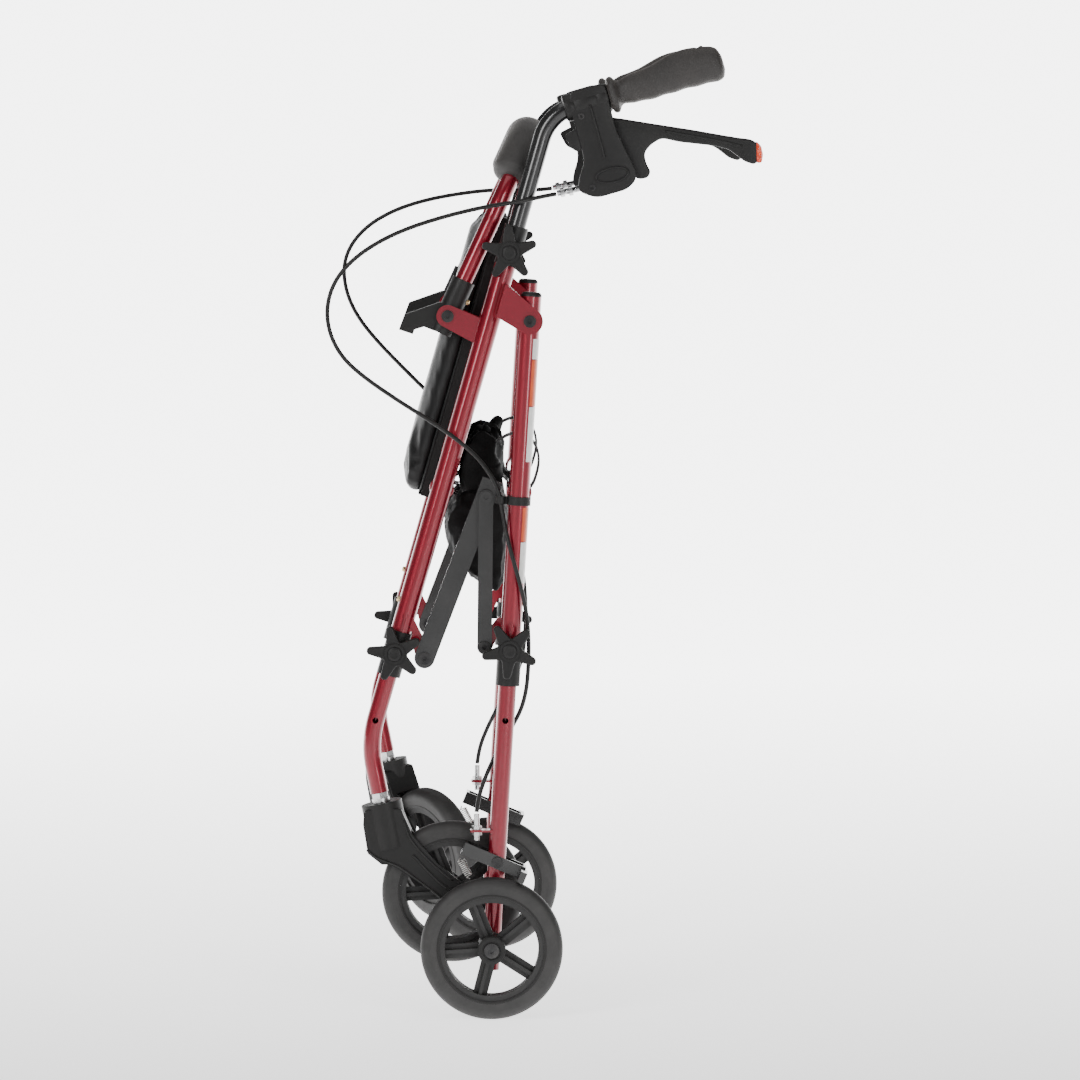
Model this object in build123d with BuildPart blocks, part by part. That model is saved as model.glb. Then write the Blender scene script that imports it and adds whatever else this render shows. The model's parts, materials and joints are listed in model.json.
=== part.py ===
from build123d import *
from math import cos, radians, sin, tan
import os

# A folding four-wheeled rollator walker, standing folded for storage, in millimetres.
#
# The walker faces -X, +Z is up and the user's left is -Y. Side points are (x, z) pairs: x is measured
# rearwards from the rear axle and z up from the floor. "out" is a distance from the middle plane.
# Left pieces are modelled, and right pieces are their mirror images.

REAR_AXLE_X = -72.0
FRONT_OUT = 200.0
REAR_OUT = 232.0
REAR_WHEEL_OUT = 264.0

LEG_OD, LEG_BORE = 22.2, 19.4
INNER_OD, INNER_BORE = 19.2, 16.4
RUN = 0.05

WHEEL_R, TYRE_WIDTH = 76.0, 25.0
REAR_AXLE = (0.0, 76.0)
FRONT_AXLE = (-42.0, 129.0)

FRONT_LEAN = 16.0
FRONT_FOOT = (-109.9, 366.0)
FRONT_LEG_LENGTH = 495.0
REAR_LEAN = 3.51
REAR_LEG_FOOT = 282.5
REAR_LEG_TOP = 696.0
COLLAR_OD, COLLAR_LENGTH = 25.8, 46.0
HANDLE_COLLAR = (455.0, 498.0)
HINGE_HEIGHT = 206.0

TOP_PIVOT = (41.0, 744.5)
BACK_PIVOT = (-46.7, 748.5)
FRONT_LINK_PIVOT = (-71.8, 382.0)
REAR_LINK_PIVOT = (-7.4, 394.5)
KNEE = (-5.7, 555.7)
BOLT_R = 4.0

HANDLE_KNOB, FRONT_KNOB, REAR_KNOB = 469.0, 22.5, 318.0
KNOB_ARM = 26.0
BUTTON_R = 3.0
FRONT_BUTTON, REAR_BUTTON = 79.0, 368.6
HOLE_PITCH = 25.0

STEM_LEAN = -11.5
BEND_BELOW = 79.0
STEM_RUN = 55.0
BEND_R = 110.0
RIGHT_SWIVEL = 55.0

HANDLE_CORNER = 622.9
GRIP_ANGLE = 16.3
HANDLE_BEND_R = 50.0
GRIP_START, GRIP_END = 66.0, 194.0
LEVER_PIVOT = (134.0, 936.0)

BACK_OUT = 187.0
BACK_LEAN = 24.7
HOOP_OD = 19.0
HOOP_R = 95.0
HOOP_SIDE = 113.0
BACK_STOP_TURN = 94.5

SEAT_HALF = 168.0
SEAT_BELOW, SEAT_ABOVE = 20.0, 300.0
BOARD, PAD = 8.0, 24.6
REAR_BAR = 183.0
BRAKE_PIVOT = (6.0, 165.5)
BRAKE_LEAN = -22.9
CABLE_OD = 4.6


OUTWARDS = Vector(0, -1, 0)


def side(out):
    """The plane at a distance out on the left: local x rearwards, local y up, normal outwards."""
    return Plane(origin=(REAR_AXLE_X, -out, 0), x_dir=(1, 0, 0), z_dir=(0, -1, 0))


def across(origin, lean, out):
    """A plane across a tube that leans rearwards: local x outwards, y rearwards, normal up the tube."""
    turn = radians(lean)
    centre = (REAR_AXLE_X + origin[0], -out, origin[1])
    return Plane(origin=centre, x_dir=(0, -1, 0), z_dir=(sin(turn), 0, cos(turn)))


def on_line(origin, lean, up, back=0.0):
    """The side point a distance up a leaning line and back from it."""
    turn = radians(lean)
    return (
        origin[0] + up * sin(turn) + back * cos(turn),
        origin[1] + up * cos(turn) - back * sin(turn),
    )


def turned(point, pivot, degrees_up):
    """A side point turned about a pivot, positive from rearwards to up."""
    turn = radians(degrees_up)
    x, z = point[0] - pivot[0], point[1] - pivot[1]
    return (pivot[0] + x * cos(turn) - z * sin(turn), pivot[1] + x * sin(turn) + z * cos(turn))


def place(point, out):
    """The model point of a side point at a distance out on the left."""
    return Vector(REAR_AXLE_X + point[0], -out, point[1])


FRONT_LEG = across(FRONT_FOOT, FRONT_LEAN, FRONT_OUT)
REAR_LEG = across(REAR_AXLE, REAR_LEAN, REAR_OUT)
HINGE = on_line(FRONT_FOOT, FRONT_LEAN, HINGE_HEIGHT)
REAR_BAR_AT = on_line(TOP_PIVOT, REAR_LEAN, -REAR_BAR)


def tube(plane, start, end, outer, bore=0.0, mode=Mode.ADD):
    """A round tube along a plane's normal."""
    with BuildSketch(plane.offset(start)) as section:
        Circle(outer / 2)
        if bore:
            Circle(bore / 2, mode=Mode.SUBTRACT)
    extrude(section.sketch, amount=end - start, dir=plane.z_dir, mode=mode)


def rod(centre, inner, outer, radius, mode=Mode.ADD):
    """A rod across the walker between two distances from the middle."""
    with BuildSketch(side(inner)) as section:
        with Locations(centre):
            Circle(radius)
    extrude(section.sketch, amount=outer - inner, dir=OUTWARDS, mode=mode)


def plate(inner, outer, rounds, mode=Mode.ADD):
    """A plate between two distances from the middle, its outline stretched round (centre, radius) discs."""
    with BuildSketch(side(inner)) as section:
        for centre, radius in rounds:
            with Locations(centre):
                Circle(radius)
        make_hull()
    extrude(section.sketch, amount=outer - inner, dir=OUTWARDS, mode=mode)


def slab(plane, x_span, y_span, z_span, mode=Mode.ADD):
    """A box given by its spans along a plane's own axes."""
    middle = ((x_span[0] + x_span[1]) / 2, (y_span[0] + y_span[1]) / 2)
    with BuildSketch(plane.offset(z_span[0])) as section:
        with Locations(middle):
            Rectangle(x_span[1] - x_span[0], y_span[1] - y_span[0])
    extrude(section.sketch, amount=z_span[1] - z_span[0], dir=plane.z_dir, mode=mode)


def outline(inner, outer, points, rounding=0.0, mode=Mode.ADD):
    """A flat piece between two distances from the middle, cut to a side outline."""
    with BuildSketch(side(inner)) as section:
        with BuildLine():
            Polyline(*points, close=True)
        make_face()
        if rounding:
            fillet(section.vertices(), rounding)
    extrude(section.sketch, amount=outer - inner, dir=OUTWARDS, mode=mode)


def save(piece, name):
    """Label a finished piece and write it to its own file."""
    piece.part.label = name
    export_step(piece.part, f"parts/{name}.step")


def save_both(left, name):
    """Write a left piece and its mirror image on the right."""
    save(left, f"left_{name}")
    with BuildPart() as right:
        mirror(left.part, about=Plane.XZ)
    save(right, f"right_{name}")


os.makedirs("parts", exist_ok=True)

# --- Front frame -----------------------------------------------------------------------------------

TAB_CLEAR = COLLAR_LENGTH + 5.0

with BuildPart() as front_leg:
    tube(FRONT_LEG, 0, FRONT_LEG_LENGTH, LEG_OD)
    # Channel bracket that straddles the rear leg at the top pivot.
    top_rounds = [(TOP_PIVOT, 14.0)]
    top_rounds += [(on_line(FRONT_FOOT, FRONT_LEAN, up, 7.0), 2.0) for up in (402.0, 434.0)]
    plate(217.0, 219.5, top_rounds)
    plate(244.3, 246.8, top_rounds)
    slab(FRONT_LEG, (7.0, 46.8), (5.0, 8.0), (400.5, 435.5))
    # Channel bracket that holds the backrest sleeve.
    back_rounds = [(BACK_PIVOT, 12.0)]
    back_rounds += [(on_line(FRONT_FOOT, FRONT_LEAN, up, -4.0), 2.0) for up in (366.0, 390.0)]
    plate(171.0, 173.5, back_rounds)
    plate(200.5, 203.0, back_rounds)
    slab(FRONT_LEG, (-29.0, 3.0), (-8.0, -5.0), (364.5, 391.5))
    # Tab of the front folding link, welded just above the collar.
    link_rounds = [(FRONT_LINK_PIVOT, 8.5)]
    link_rounds += [(on_line(FRONT_FOOT, FRONT_LEAN, up, 8.0), 2.0) for up in (52.0, 62.0)]
    plate(204.5, 207.5, link_rounds)
    tube(FRONT_LEG, -6, TAB_CLEAR - 2.0, COLLAR_OD + 3.0, LEG_OD, mode=Mode.SUBTRACT)
    # Bore, clamping slit, button hole and knob holes.
    tube(FRONT_LEG, 0, FRONT_LEG_LENGTH, LEG_BORE, mode=Mode.SUBTRACT)
    slab(FRONT_LEG, (6.0, 12.0), (-1.5, 1.5), (0.0, 64.0), mode=Mode.SUBTRACT)
    rod(on_line(FRONT_FOOT, FRONT_LEAN, 64.0), 206.0, 212.0, 3.2, mode=Mode.SUBTRACT)
    rod(on_line(FRONT_FOOT, FRONT_LEAN, FRONT_KNOB), 206.0, 212.0, 3.1, mode=Mode.SUBTRACT)
    rod(on_line(FRONT_FOOT, FRONT_LEAN, HANDLE_KNOB), 206.0, 212.0, 3.1, mode=Mode.SUBTRACT)
    for pivot, inner, outer in (
        (TOP_PIVOT, 216.0, 248.0),
        (BACK_PIVOT, 170.0, 204.0),
        (FRONT_LINK_PIVOT, 203.0, 209.0),
    ):
        rod(pivot, inner, outer, BOLT_R + RUN, mode=Mode.SUBTRACT)
    button_face = Plane(
        origin=FRONT_LEG.from_local_coords((0, 0, FRONT_BUTTON)),
        x_dir=FRONT_LEG.x_dir,
        z_dir=-FRONT_LEG.y_dir,
    )
    tube(button_face, 8.0, 12.0, 2 * BUTTON_R + 0.8, mode=Mode.SUBTRACT)
save_both(front_leg, "front_leg")

with BuildPart() as front_cross_tube:
    rod(HINGE, -196.0, 196.0, LEG_OD / 2)
    rod(HINGE, -197.0, 197.0, LEG_BORE / 2, mode=Mode.SUBTRACT)
    tube(FRONT_LEG, 150.0, 260.0, LEG_OD, mode=Mode.SUBTRACT)
    right_leg = across(FRONT_FOOT, FRONT_LEAN, -FRONT_OUT)
    tube(right_leg, 150.0, 260.0, LEG_OD, mode=Mode.SUBTRACT)
save(front_cross_tube, "front_cross_tube")


def collar(leg, start, end, knob, inner_lip):
    """A plastic sleeve on the end of a leg tube, with the boss of its clamping knob."""
    tube(leg, start, end, COLLAR_OD)
    boss = Plane(origin=leg.from_local_coords((0, 0, knob)), x_dir=leg.y_dir, z_dir=leg.x_dir)
    tube(boss, 5.0, 15.5, 18.0)
    tube(leg, start - 1, end + 1, LEG_OD + 2 * RUN, mode=Mode.SUBTRACT)
    lip_start, lip_end = inner_lip
    tube(leg, lip_start, lip_end, COLLAR_OD, INNER_OD + 0.3)
    tube(boss, 5.0, 16.0, 6.2, mode=Mode.SUBTRACT)


with BuildPart() as handle_collars:
    start, end = HANDLE_COLLAR
    collar(FRONT_LEG, start, end, HANDLE_KNOB, (FRONT_LEG_LENGTH + 0.2, end))
    mirror(about=Plane.XZ)
save(handle_collars, "handle_collars")

with BuildPart() as front_leg_collars:
    collar(FRONT_LEG, -3.0, COLLAR_LENGTH, FRONT_KNOB, (-3.0, -0.2))
    mirror(about=Plane.XZ)
save(front_leg_collars, "front_leg_collars")


def bolt(centre, inner, outer, head=3.0):
    """A pivot bolt with a socket head outside and a nut inside."""
    rod(centre, inner, outer, BOLT_R)
    rod(centre, outer, outer + head, 6.5)
    rod(centre, outer, outer + head + 1.0, 2.5, mode=Mode.SUBTRACT)
    with BuildSketch(side(inner - 3.0)) as nut:
        with Locations(centre):
            RegularPolygon(6.2, 6)
    extrude(nut.sketch, amount=3.0, dir=OUTWARDS)


with BuildPart() as front_frame_bolts:
    bolt(TOP_PIVOT, 216.9, 246.9)
    bolt(BACK_PIVOT, 170.9, 203.1)
    bolt(FRONT_LINK_PIVOT, 198.8, 213.2, head=2.3)
    mirror(about=Plane.XZ)
save(front_frame_bolts, "front_frame_bolts")

# --- Rear frame ------------------------------------------------------------------------------------

with BuildPart() as rear_leg:
    tube(REAR_LEG, REAR_LEG_FOOT, REAR_LEG_TOP, LEG_OD)
    # Bent tab of the rear folding link: it passes inside the link and is welded above the collar.
    rear_rounds = [(REAR_LINK_PIVOT, 8.0)]
    rear_rounds += [(on_line(REAR_AXLE, REAR_LEAN, up, -13.5), 1.5) for up in (335.0, 349.0)]
    plate(211.0, 214.0, rear_rounds)
    slab(REAR_LEG, (-21.0, -5.0), (-15.0, -12.0), (333.5, 350.5))
    slab(REAR_LEG, (-8.0, -5.0), (-15.0, -6.0), (333.5, 350.5))
    collar_top = REAR_LEG_FOOT + COLLAR_LENGTH
    tube(REAR_LEG, 270.0, collar_top + 3.0, COLLAR_OD + 3.0, LEG_OD, mode=Mode.SUBTRACT)
    tube(REAR_LEG, REAR_LEG_FOOT, REAR_LEG_TOP, LEG_BORE, mode=Mode.SUBTRACT)
    slit_top = collar_top + 16.0
    slab(REAR_LEG, (6.0, 12.0), (-1.5, 1.5), (REAR_LEG_FOOT, slit_top), mode=Mode.SUBTRACT)
    rod(on_line(REAR_AXLE, REAR_LEAN, slit_top), 238.0, 244.0, 3.2, mode=Mode.SUBTRACT)
    rod(on_line(REAR_AXLE, REAR_LEAN, REAR_KNOB), 238.0, 244.0, 3.1, mode=Mode.SUBTRACT)
    rod(REAR_LINK_PIVOT, 210.0, 215.0, BOLT_R + RUN, mode=Mode.SUBTRACT)
    rod(TOP_PIVOT, 220.0, 244.0, BOLT_R + RUN, mode=Mode.SUBTRACT)
    button_face = Plane(
        origin=REAR_LEG.from_local_coords((0, 0, REAR_BUTTON)),
        x_dir=REAR_LEG.x_dir,
        z_dir=REAR_LEG.y_dir,
    )
    tube(button_face, 8.0, 12.0, 2 * BUTTON_R + 0.8, mode=Mode.SUBTRACT)
save_both(rear_leg, "rear_leg")

with BuildPart() as rear_cross_tube:
    rod(REAR_BAR_AT, -228.0, 228.0, LEG_OD / 2)
    rod(REAR_BAR_AT, -229.0, 229.0, LEG_BORE / 2, mode=Mode.SUBTRACT)
    tube(REAR_LEG, 430.0, 540.0, LEG_OD, mode=Mode.SUBTRACT)
    right_leg = across(REAR_AXLE, REAR_LEAN, -REAR_OUT)
    tube(right_leg, 430.0, 540.0, LEG_OD, mode=Mode.SUBTRACT)
save(rear_cross_tube, "rear_cross_tube")

with BuildPart() as rear_leg_mouldings:
    start = REAR_LEG_FOOT - 3.0
    collar(REAR_LEG, start, REAR_LEG_FOOT + COLLAR_LENGTH, REAR_KNOB, (start, REAR_LEG_FOOT - 0.2))
    # Domed cap in the top of the leg.
    tube(REAR_LEG, REAR_LEG_TOP + 0.1, REAR_LEG_TOP + 4.6, LEG_OD)
    top_edge = edges().filter_by(GeomType.CIRCLE).sort_by(Axis.Z)[-1]
    fillet(top_edge, 4.0)
    tube(REAR_LEG, REAR_LEG_TOP - 12.0, REAR_LEG_TOP + 0.2, LEG_BORE - 0.1)
    mirror(about=Plane.XZ)
save(rear_leg_mouldings, "rear_leg_mouldings")

with BuildPart() as rear_frame_bolts:
    bolt(REAR_LINK_PIVOT, 210.8, 219.7)
    mirror(about=Plane.XZ)
save(rear_frame_bolts, "rear_frame_bolts")

# Snap-on clips that hold the brake cables in front of the rear legs.
CLIP_AT = 477.5
CABLE_AT_CLIP = (1.3, -19.4)

with BuildPart() as cable_clips:
    tube(REAR_LEG, CLIP_AT - 4.5, CLIP_AT + 4.5, LEG_OD + 4.0)
    cable_eye = Plane(
        origin=REAR_LEG.from_local_coords((*CABLE_AT_CLIP, CLIP_AT)),
        x_dir=REAR_LEG.x_dir,
        z_dir=REAR_LEG.z_dir,
    )
    tube(cable_eye, -4.0, 4.0, CABLE_OD + 6.4)
    slab(REAR_LEG, (-2.5, 2.5), (-16.0, -12.0), (CLIP_AT - 4.0, CLIP_AT + 4.0))
    tube(cable_eye, -5.0, 5.0, CABLE_OD + 3.2, mode=Mode.SUBTRACT)
    rod(REAR_BAR_AT, 200.0, 233.0, LEG_OD / 2 + RUN, mode=Mode.SUBTRACT)
    tube(REAR_LEG, CLIP_AT - 5.0, CLIP_AT + 5.0, LEG_OD + 2 * RUN, mode=Mode.SUBTRACT)
    slab(REAR_LEG, (-3.0, 3.0), (8.0, 15.0), (CLIP_AT - 5.0, CLIP_AT + 5.0), mode=Mode.SUBTRACT)
    mirror(about=Plane.XZ)
save(cable_clips, "cable_clips")

# --- Folding links ---------------------------------------------------------------------------------


def link_plane(pivot, end, out):
    """A plane at a link's pivot: local x along the link, local y across it, normal outwards."""
    a, b = place(pivot, out), place(end, out)
    return Plane(origin=a, x_dir=b - a, z_dir=(0, -1, 0))


FRONT_LINK_HALF, REAR_LINK_HALF = 10.8, 7.8
LINK_WALL = 2.0

with BuildPart() as front_link:
    length = (place(KNEE, 0) - place(FRONT_LINK_PIVOT, 0)).length
    ends = (-FRONT_LINK_HALF, length + 19.0)
    inner = link_plane(FRONT_LINK_PIVOT, KNEE, 199.0)
    # Two flanges, and a web along the lower edge that leaves room for the welded tab.
    for start in (0.0, 12.0):
        with BuildSketch(inner.offset(start)) as flange:
            with Locations(((ends[0] + ends[1]) / 2, 0)):
                Rectangle(ends[1] - ends[0], 2 * FRONT_LINK_HALF)
            fillet(flange.vertices().group_by(Axis.X)[0], FRONT_LINK_HALF - 0.1)
        extrude(amount=LINK_WALL)
    slab(inner, (14.0, ends[1]), (-FRONT_LINK_HALF, LINK_WALL - FRONT_LINK_HALF), (0.0, 14.0))
    rod(FRONT_LINK_PIVOT, 198.0, 214.0, BOLT_R + RUN, mode=Mode.SUBTRACT)
save_both(front_link, "front_link")

with BuildPart() as rear_link:
    inner = link_plane(REAR_LINK_PIVOT, KNEE, 214.6)
    length = (place(KNEE, 0) - place(REAR_LINK_PIVOT, 0)).length
    with BuildSketch(inner):
        with Locations((length / 2, 0)):
            SlotCenterToCenter(length, 2 * REAR_LINK_HALF)
    extrude(amount=4.8)
    rod(REAR_LINK_PIVOT, 214.0, 220.0, BOLT_R + RUN, mode=Mode.SUBTRACT)
    rod(KNEE, 219.4, 222.4, 6.5)
    rod(KNEE, 220.4, 223.0, 2.5, mode=Mode.SUBTRACT)
save_both(rear_link, "rear_link")

# --- Seat ------------------------------------------------------------------------------------------

SEAT = across(HINGE, FRONT_LEAN, 0.0)
BOARD_AT = -(LEG_OD / 2 + 0.3)
PAD_AT = BOARD_AT - BOARD - 0.05

with BuildPart() as seat_board:
    board_half = SEAT_HALF - 4.0
    slab(SEAT, (-board_half, board_half), (BOARD_AT - BOARD, BOARD_AT), (-SEAT_BELOW + 4, SEAT_ABOVE - 4))
    for start in (-140.0, 110.0):
        slab(SEAT, (start, start + 30.0), (BOARD_AT - 1.0, 9.0), (-16.0, 16.0))
    rod(HINGE, -180.0, 180.0, LEG_OD / 2 + RUN, mode=Mode.SUBTRACT)
save(seat_board, "seat_board")

with BuildPart() as seat_pad:
    slab(SEAT, (-SEAT_HALF, SEAT_HALF), (PAD_AT - PAD, PAD_AT), (-SEAT_BELOW, SEAT_ABOVE))
    thickness = Axis((0, 0, 0), SEAT.y_dir)
    fillet(edges().filter_by(thickness), 24.0)
    fillet(faces().sort_by(thickness)[0].edges(), 10.0)
save(seat_pad, "seat_pad")

with BuildPart() as bag:
    bag_outline = [
        (-50, 488), (-54, 530), (-37, 547), (-36, 598), (-14, 626), (9, 628),
        (15, 600), (15, 545), (20, 520), (16, 455), (6, 438), (-8, 452),
    ]
    outline(-148.0, 148.0, bag_outline)
save(bag, "bag")

# --- Handles ---------------------------------------------------------------------------------------

CORNER = on_line(FRONT_FOOT, FRONT_LEAN, HANDLE_CORNER)
GRIP = across(CORNER, 90.0 - GRIP_ANGLE, FRONT_OUT)
HANDLE_FOOT = 330.0

with BuildPart() as handle_tube:
    with BuildLine():
        FilletPolyline(
            place(on_line(FRONT_FOOT, FRONT_LEAN, HANDLE_FOOT), FRONT_OUT),
            place(CORNER, FRONT_OUT),
            place(on_line(CORNER, 90.0 - GRIP_ANGLE, GRIP_END - 8.0), FRONT_OUT),
            radius=HANDLE_BEND_R,
        )
    with BuildSketch(FRONT_LEG.offset(HANDLE_FOOT)):
        Circle(INNER_OD / 2)
        Circle(INNER_BORE / 2, mode=Mode.SUBTRACT)
    sweep()
save_both(handle_tube, "handle_tube")


def on_grip(along, up):
    """A side point a distance along the grip and above its axis."""
    return on_line(CORNER, 90.0 - GRIP_ANGLE, along, -up)


with BuildPart() as grip:
    tube(GRIP, GRIP_START + 4.0, GRIP_START + 9.0, 40.0)
    tube(GRIP, GRIP_START + 9.0, GRIP_END - 4.0, 33.0)
    palm = [(on_grip(124.0, 2.0), 15.0), (on_grip(152.0, 9.0), 15.5), (on_grip(179.0, 0.0), 16.0)]
    plate(178.0, 214.0, palm)
    tube(GRIP, GRIP_START, GRIP_END - 7.9, INNER_OD + 2 * RUN, mode=Mode.SUBTRACT)
save_both(grip, "grip")

ADJUSTER_DIP = 12.8
ADJUSTER_END = (70.6, 879.5)

with BuildPart() as brake_housing:
    body = [
        (82, 989), (121, 998), (127.5, 966), (155, 901), (145, 882), (112, 874), (91, 884),
        (100, 915), (84, 973),
    ]
    outline(186.0, 214.0, body, rounding=4.0)
    tube(GRIP, 0.0, GRIP_START + 4.0, INNER_OD + 2 * RUN, mode=Mode.SUBTRACT)
    slot = [(104, 962), (160, 978), (170, 930), (170, 889), (104, 889)]
    outline(193.5, 206.5, slot, mode=Mode.SUBTRACT)
    rod(LEVER_PIVOT, 187.0, 213.0, 3.0)
    barrel = across(ADJUSTER_END, 90.0 - ADJUSTER_DIP, FRONT_OUT)
    tube(barrel, 0.0, 28.0, 6.4)
    tube(barrel, 4.0, 9.0, 9.5)
    tube(barrel, 13.0, 17.0, 10.5)
save_both(brake_housing, "brake_housing")

with BuildPart() as brake_lever:
    lever_outline = [
        (121, 956), (132, 961), (260, 940), (284, 934), (288, 926), (285, 913), (281, 910),
        (271, 913), (255, 926), (238, 930), (201, 934), (182, 939), (163, 923), (171, 903),
        (168, 896), (158, 894), (129, 910),
    ]
    outline(194.5, 205.5, lever_outline, rounding=1.2)
    rod(LEVER_PIVOT, 194.0, 206.0, 3.0 + RUN, mode=Mode.SUBTRACT)
save_both(brake_lever, "brake_lever")

# --- Backrest --------------------------------------------------------------------------------------

tilt = radians(BACK_LEAN)
HOOP = Plane(origin=place(BACK_PIVOT, 0), x_dir=(0, -1, 0), z_dir=(-cos(tilt), 0, sin(tilt)))
HOOP_TOP = HOOP_SIDE + HOOP_R
HOOP_FOOT = 11.5
FOAM_OD = 46.0
FOAM_STARTS = 32.0
BACK = across(BACK_PIVOT, BACK_LEAN, BACK_OUT)
BACK_BUTTON = 22.0


def press_face(leg, up, direction):
    """The plane of a snap button at a distance up a tube, its normal along a direction."""
    return Plane(origin=leg.from_local_coords((0, 0, up)), x_dir=leg.x_dir, z_dir=direction)


with BuildPart() as backrest_tube:
    with BuildLine(HOOP):
        FilletPolyline(
            (BACK_OUT, HOOP_FOOT), (BACK_OUT, HOOP_TOP), (-BACK_OUT, HOOP_TOP), (-BACK_OUT, HOOP_FOOT),
            radius=HOOP_R,
        )
    with BuildSketch(BACK.offset(HOOP_FOOT)):
        Circle(HOOP_OD / 2)
        Circle(HOOP_OD / 2 - 1.4, mode=Mode.SUBTRACT)
    sweep()
    tube(press_face(BACK, BACK_BUTTON, BACK.y_dir), 6.0, 11.0, 2 * BUTTON_R + 0.8, mode=Mode.SUBTRACT)
    right_back = across(BACK_PIVOT, BACK_LEAN, -BACK_OUT)
    right_face = press_face(right_back, BACK_BUTTON, BACK.y_dir)
    tube(right_face, 6.0, 11.0, 2 * BUTTON_R + 0.8, mode=Mode.SUBTRACT)
save(backrest_tube, "backrest_tube")

with BuildPart() as backrest_foam:
    arc_at = BACK_OUT - HOOP_R
    with BuildLine(HOOP) as foam_run:
        CenterArc((arc_at, HOOP_SIDE), HOOP_R, FOAM_STARTS, 90 - FOAM_STARTS)
        Line((arc_at, HOOP_TOP), (-arc_at, HOOP_TOP))
        CenterArc((-arc_at, HOOP_SIDE), HOOP_R, 90, 90 - FOAM_STARTS)
    with BuildSketch(Plane(origin=foam_run.wire() @ 0, z_dir=foam_run.wire() % 0)):
        Circle(FOAM_OD / 2)
        Circle(HOOP_OD / 2 + RUN, mode=Mode.SUBTRACT)
    sweep()
save(backrest_foam, "backrest_foam")

with BuildPart() as backrest_sleeves:
    tube(BACK, -20.0, 42.0, 25.0)
    arm = [
        (-99, 734), (-84, 729), (-82, 734), (-72, 737), (-62, 733), (-43, 729), (-38, 745),
        (-42, 764), (-56, 763), (-93, 750),
    ]
    outline(178.0, 196.0, arm)
    stop_axis = turned(on_line(FRONT_FOOT, FRONT_LEAN, 350.0), BACK_PIVOT, -BACK_STOP_TURN)
    stop = across(stop_axis, FRONT_LEAN + BACK_STOP_TURN, FRONT_OUT)
    tube(stop, -60.0, 60.0, LEG_OD + 0.8, mode=Mode.SUBTRACT)
    tube(BACK, HOOP_FOOT - 0.3, 43.0, HOOP_OD + 2 * RUN, mode=Mode.SUBTRACT)
    rod(BACK_PIVOT, 173.0, 201.0, BOLT_R + RUN, mode=Mode.SUBTRACT)
    button_hole = press_face(BACK, BACK_BUTTON, BACK.y_dir)
    tube(button_hole, 8.0, 14.0, 2 * BUTTON_R + 0.8, mode=Mode.SUBTRACT)
    mirror(about=Plane.XZ)
save(backrest_sleeves, "backrest_sleeves")


def snap_button(plane, start, end):
    """A round-nosed brass button."""
    tube(plane, start, end, 2 * BUTTON_R)
    nose = edges().filter_by(GeomType.CIRCLE).sort_by(Axis(plane.origin, plane.z_dir))[-1]
    fillet(nose, 1.8)


with BuildPart() as backrest_buttons:
    snap_button(press_face(BACK, BACK_BUTTON, BACK.y_dir), 9.9, 15.4)
    mirror(about=Plane.XZ)
save(backrest_buttons, "backrest_buttons")

with BuildPart() as front_button:
    snap_button(press_face(FRONT_LEG, FRONT_BUTTON, -FRONT_LEG.y_dir), 9.9, 13.8)
save_both(front_button, "front_leg_button")

with BuildPart() as rear_button:
    snap_button(press_face(REAR_LEG, REAR_BUTTON, REAR_LEG.y_dir), 9.9, 13.8)
save_both(rear_button, "rear_leg_button")

# --- Telescoping lower legs ------------------------------------------------------------------------

FRONT_INNER_TOP, REAR_INNER_TOP, REAR_INNER_FOOT = 160.0, 450.0, -27.0
VISIBLE_HOLE_DROP = 76.0
BEND = on_line(FRONT_FOOT, FRONT_LEAN, -BEND_BELOW)
STEM_TOP = on_line(BEND, STEM_LEAN, -STEM_RUN)
STEM = across(STEM_TOP, STEM_LEAN, FRONT_OUT)
STEM_R = 6.0
PLUG = 24.0


def button_holes(leg, at, direction):
    """Adjusting holes up an inner tube, one for each height setting."""
    for step in (-1, 0, 1, 2):
        face = press_face(leg, at + step * HOLE_PITCH, direction)
        tube(face, 6.0, 12.0, 2 * BUTTON_R + 0.8, mode=Mode.SUBTRACT)


with BuildPart() as front_lower_leg:
    with BuildLine():
        FilletPolyline(
            place(on_line(FRONT_FOOT, FRONT_LEAN, FRONT_INNER_TOP), FRONT_OUT),
            place(BEND, FRONT_OUT),
            place(STEM_TOP, FRONT_OUT),
            radius=BEND_R,
        )
    with BuildSketch(FRONT_LEG.offset(FRONT_INNER_TOP)):
        Circle(INNER_OD / 2)
        Circle(INNER_BORE / 2, mode=Mode.SUBTRACT)
    sweep()
    tube(STEM, 0.0, PLUG, INNER_BORE + 1.0, 2 * (STEM_R + RUN))
    button_holes(FRONT_LEG, FRONT_BUTTON, -FRONT_LEG.y_dir)
    hole_at = on_line(FRONT_FOOT, FRONT_LEAN, FRONT_KNOB - VISIBLE_HOLE_DROP)
    rod(hole_at, 204.0, 212.0, 3.3, mode=Mode.SUBTRACT)
save_both(front_lower_leg, "front_lower_leg")

ADJUSTER_AT = (-16.0, 198.5)

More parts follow.
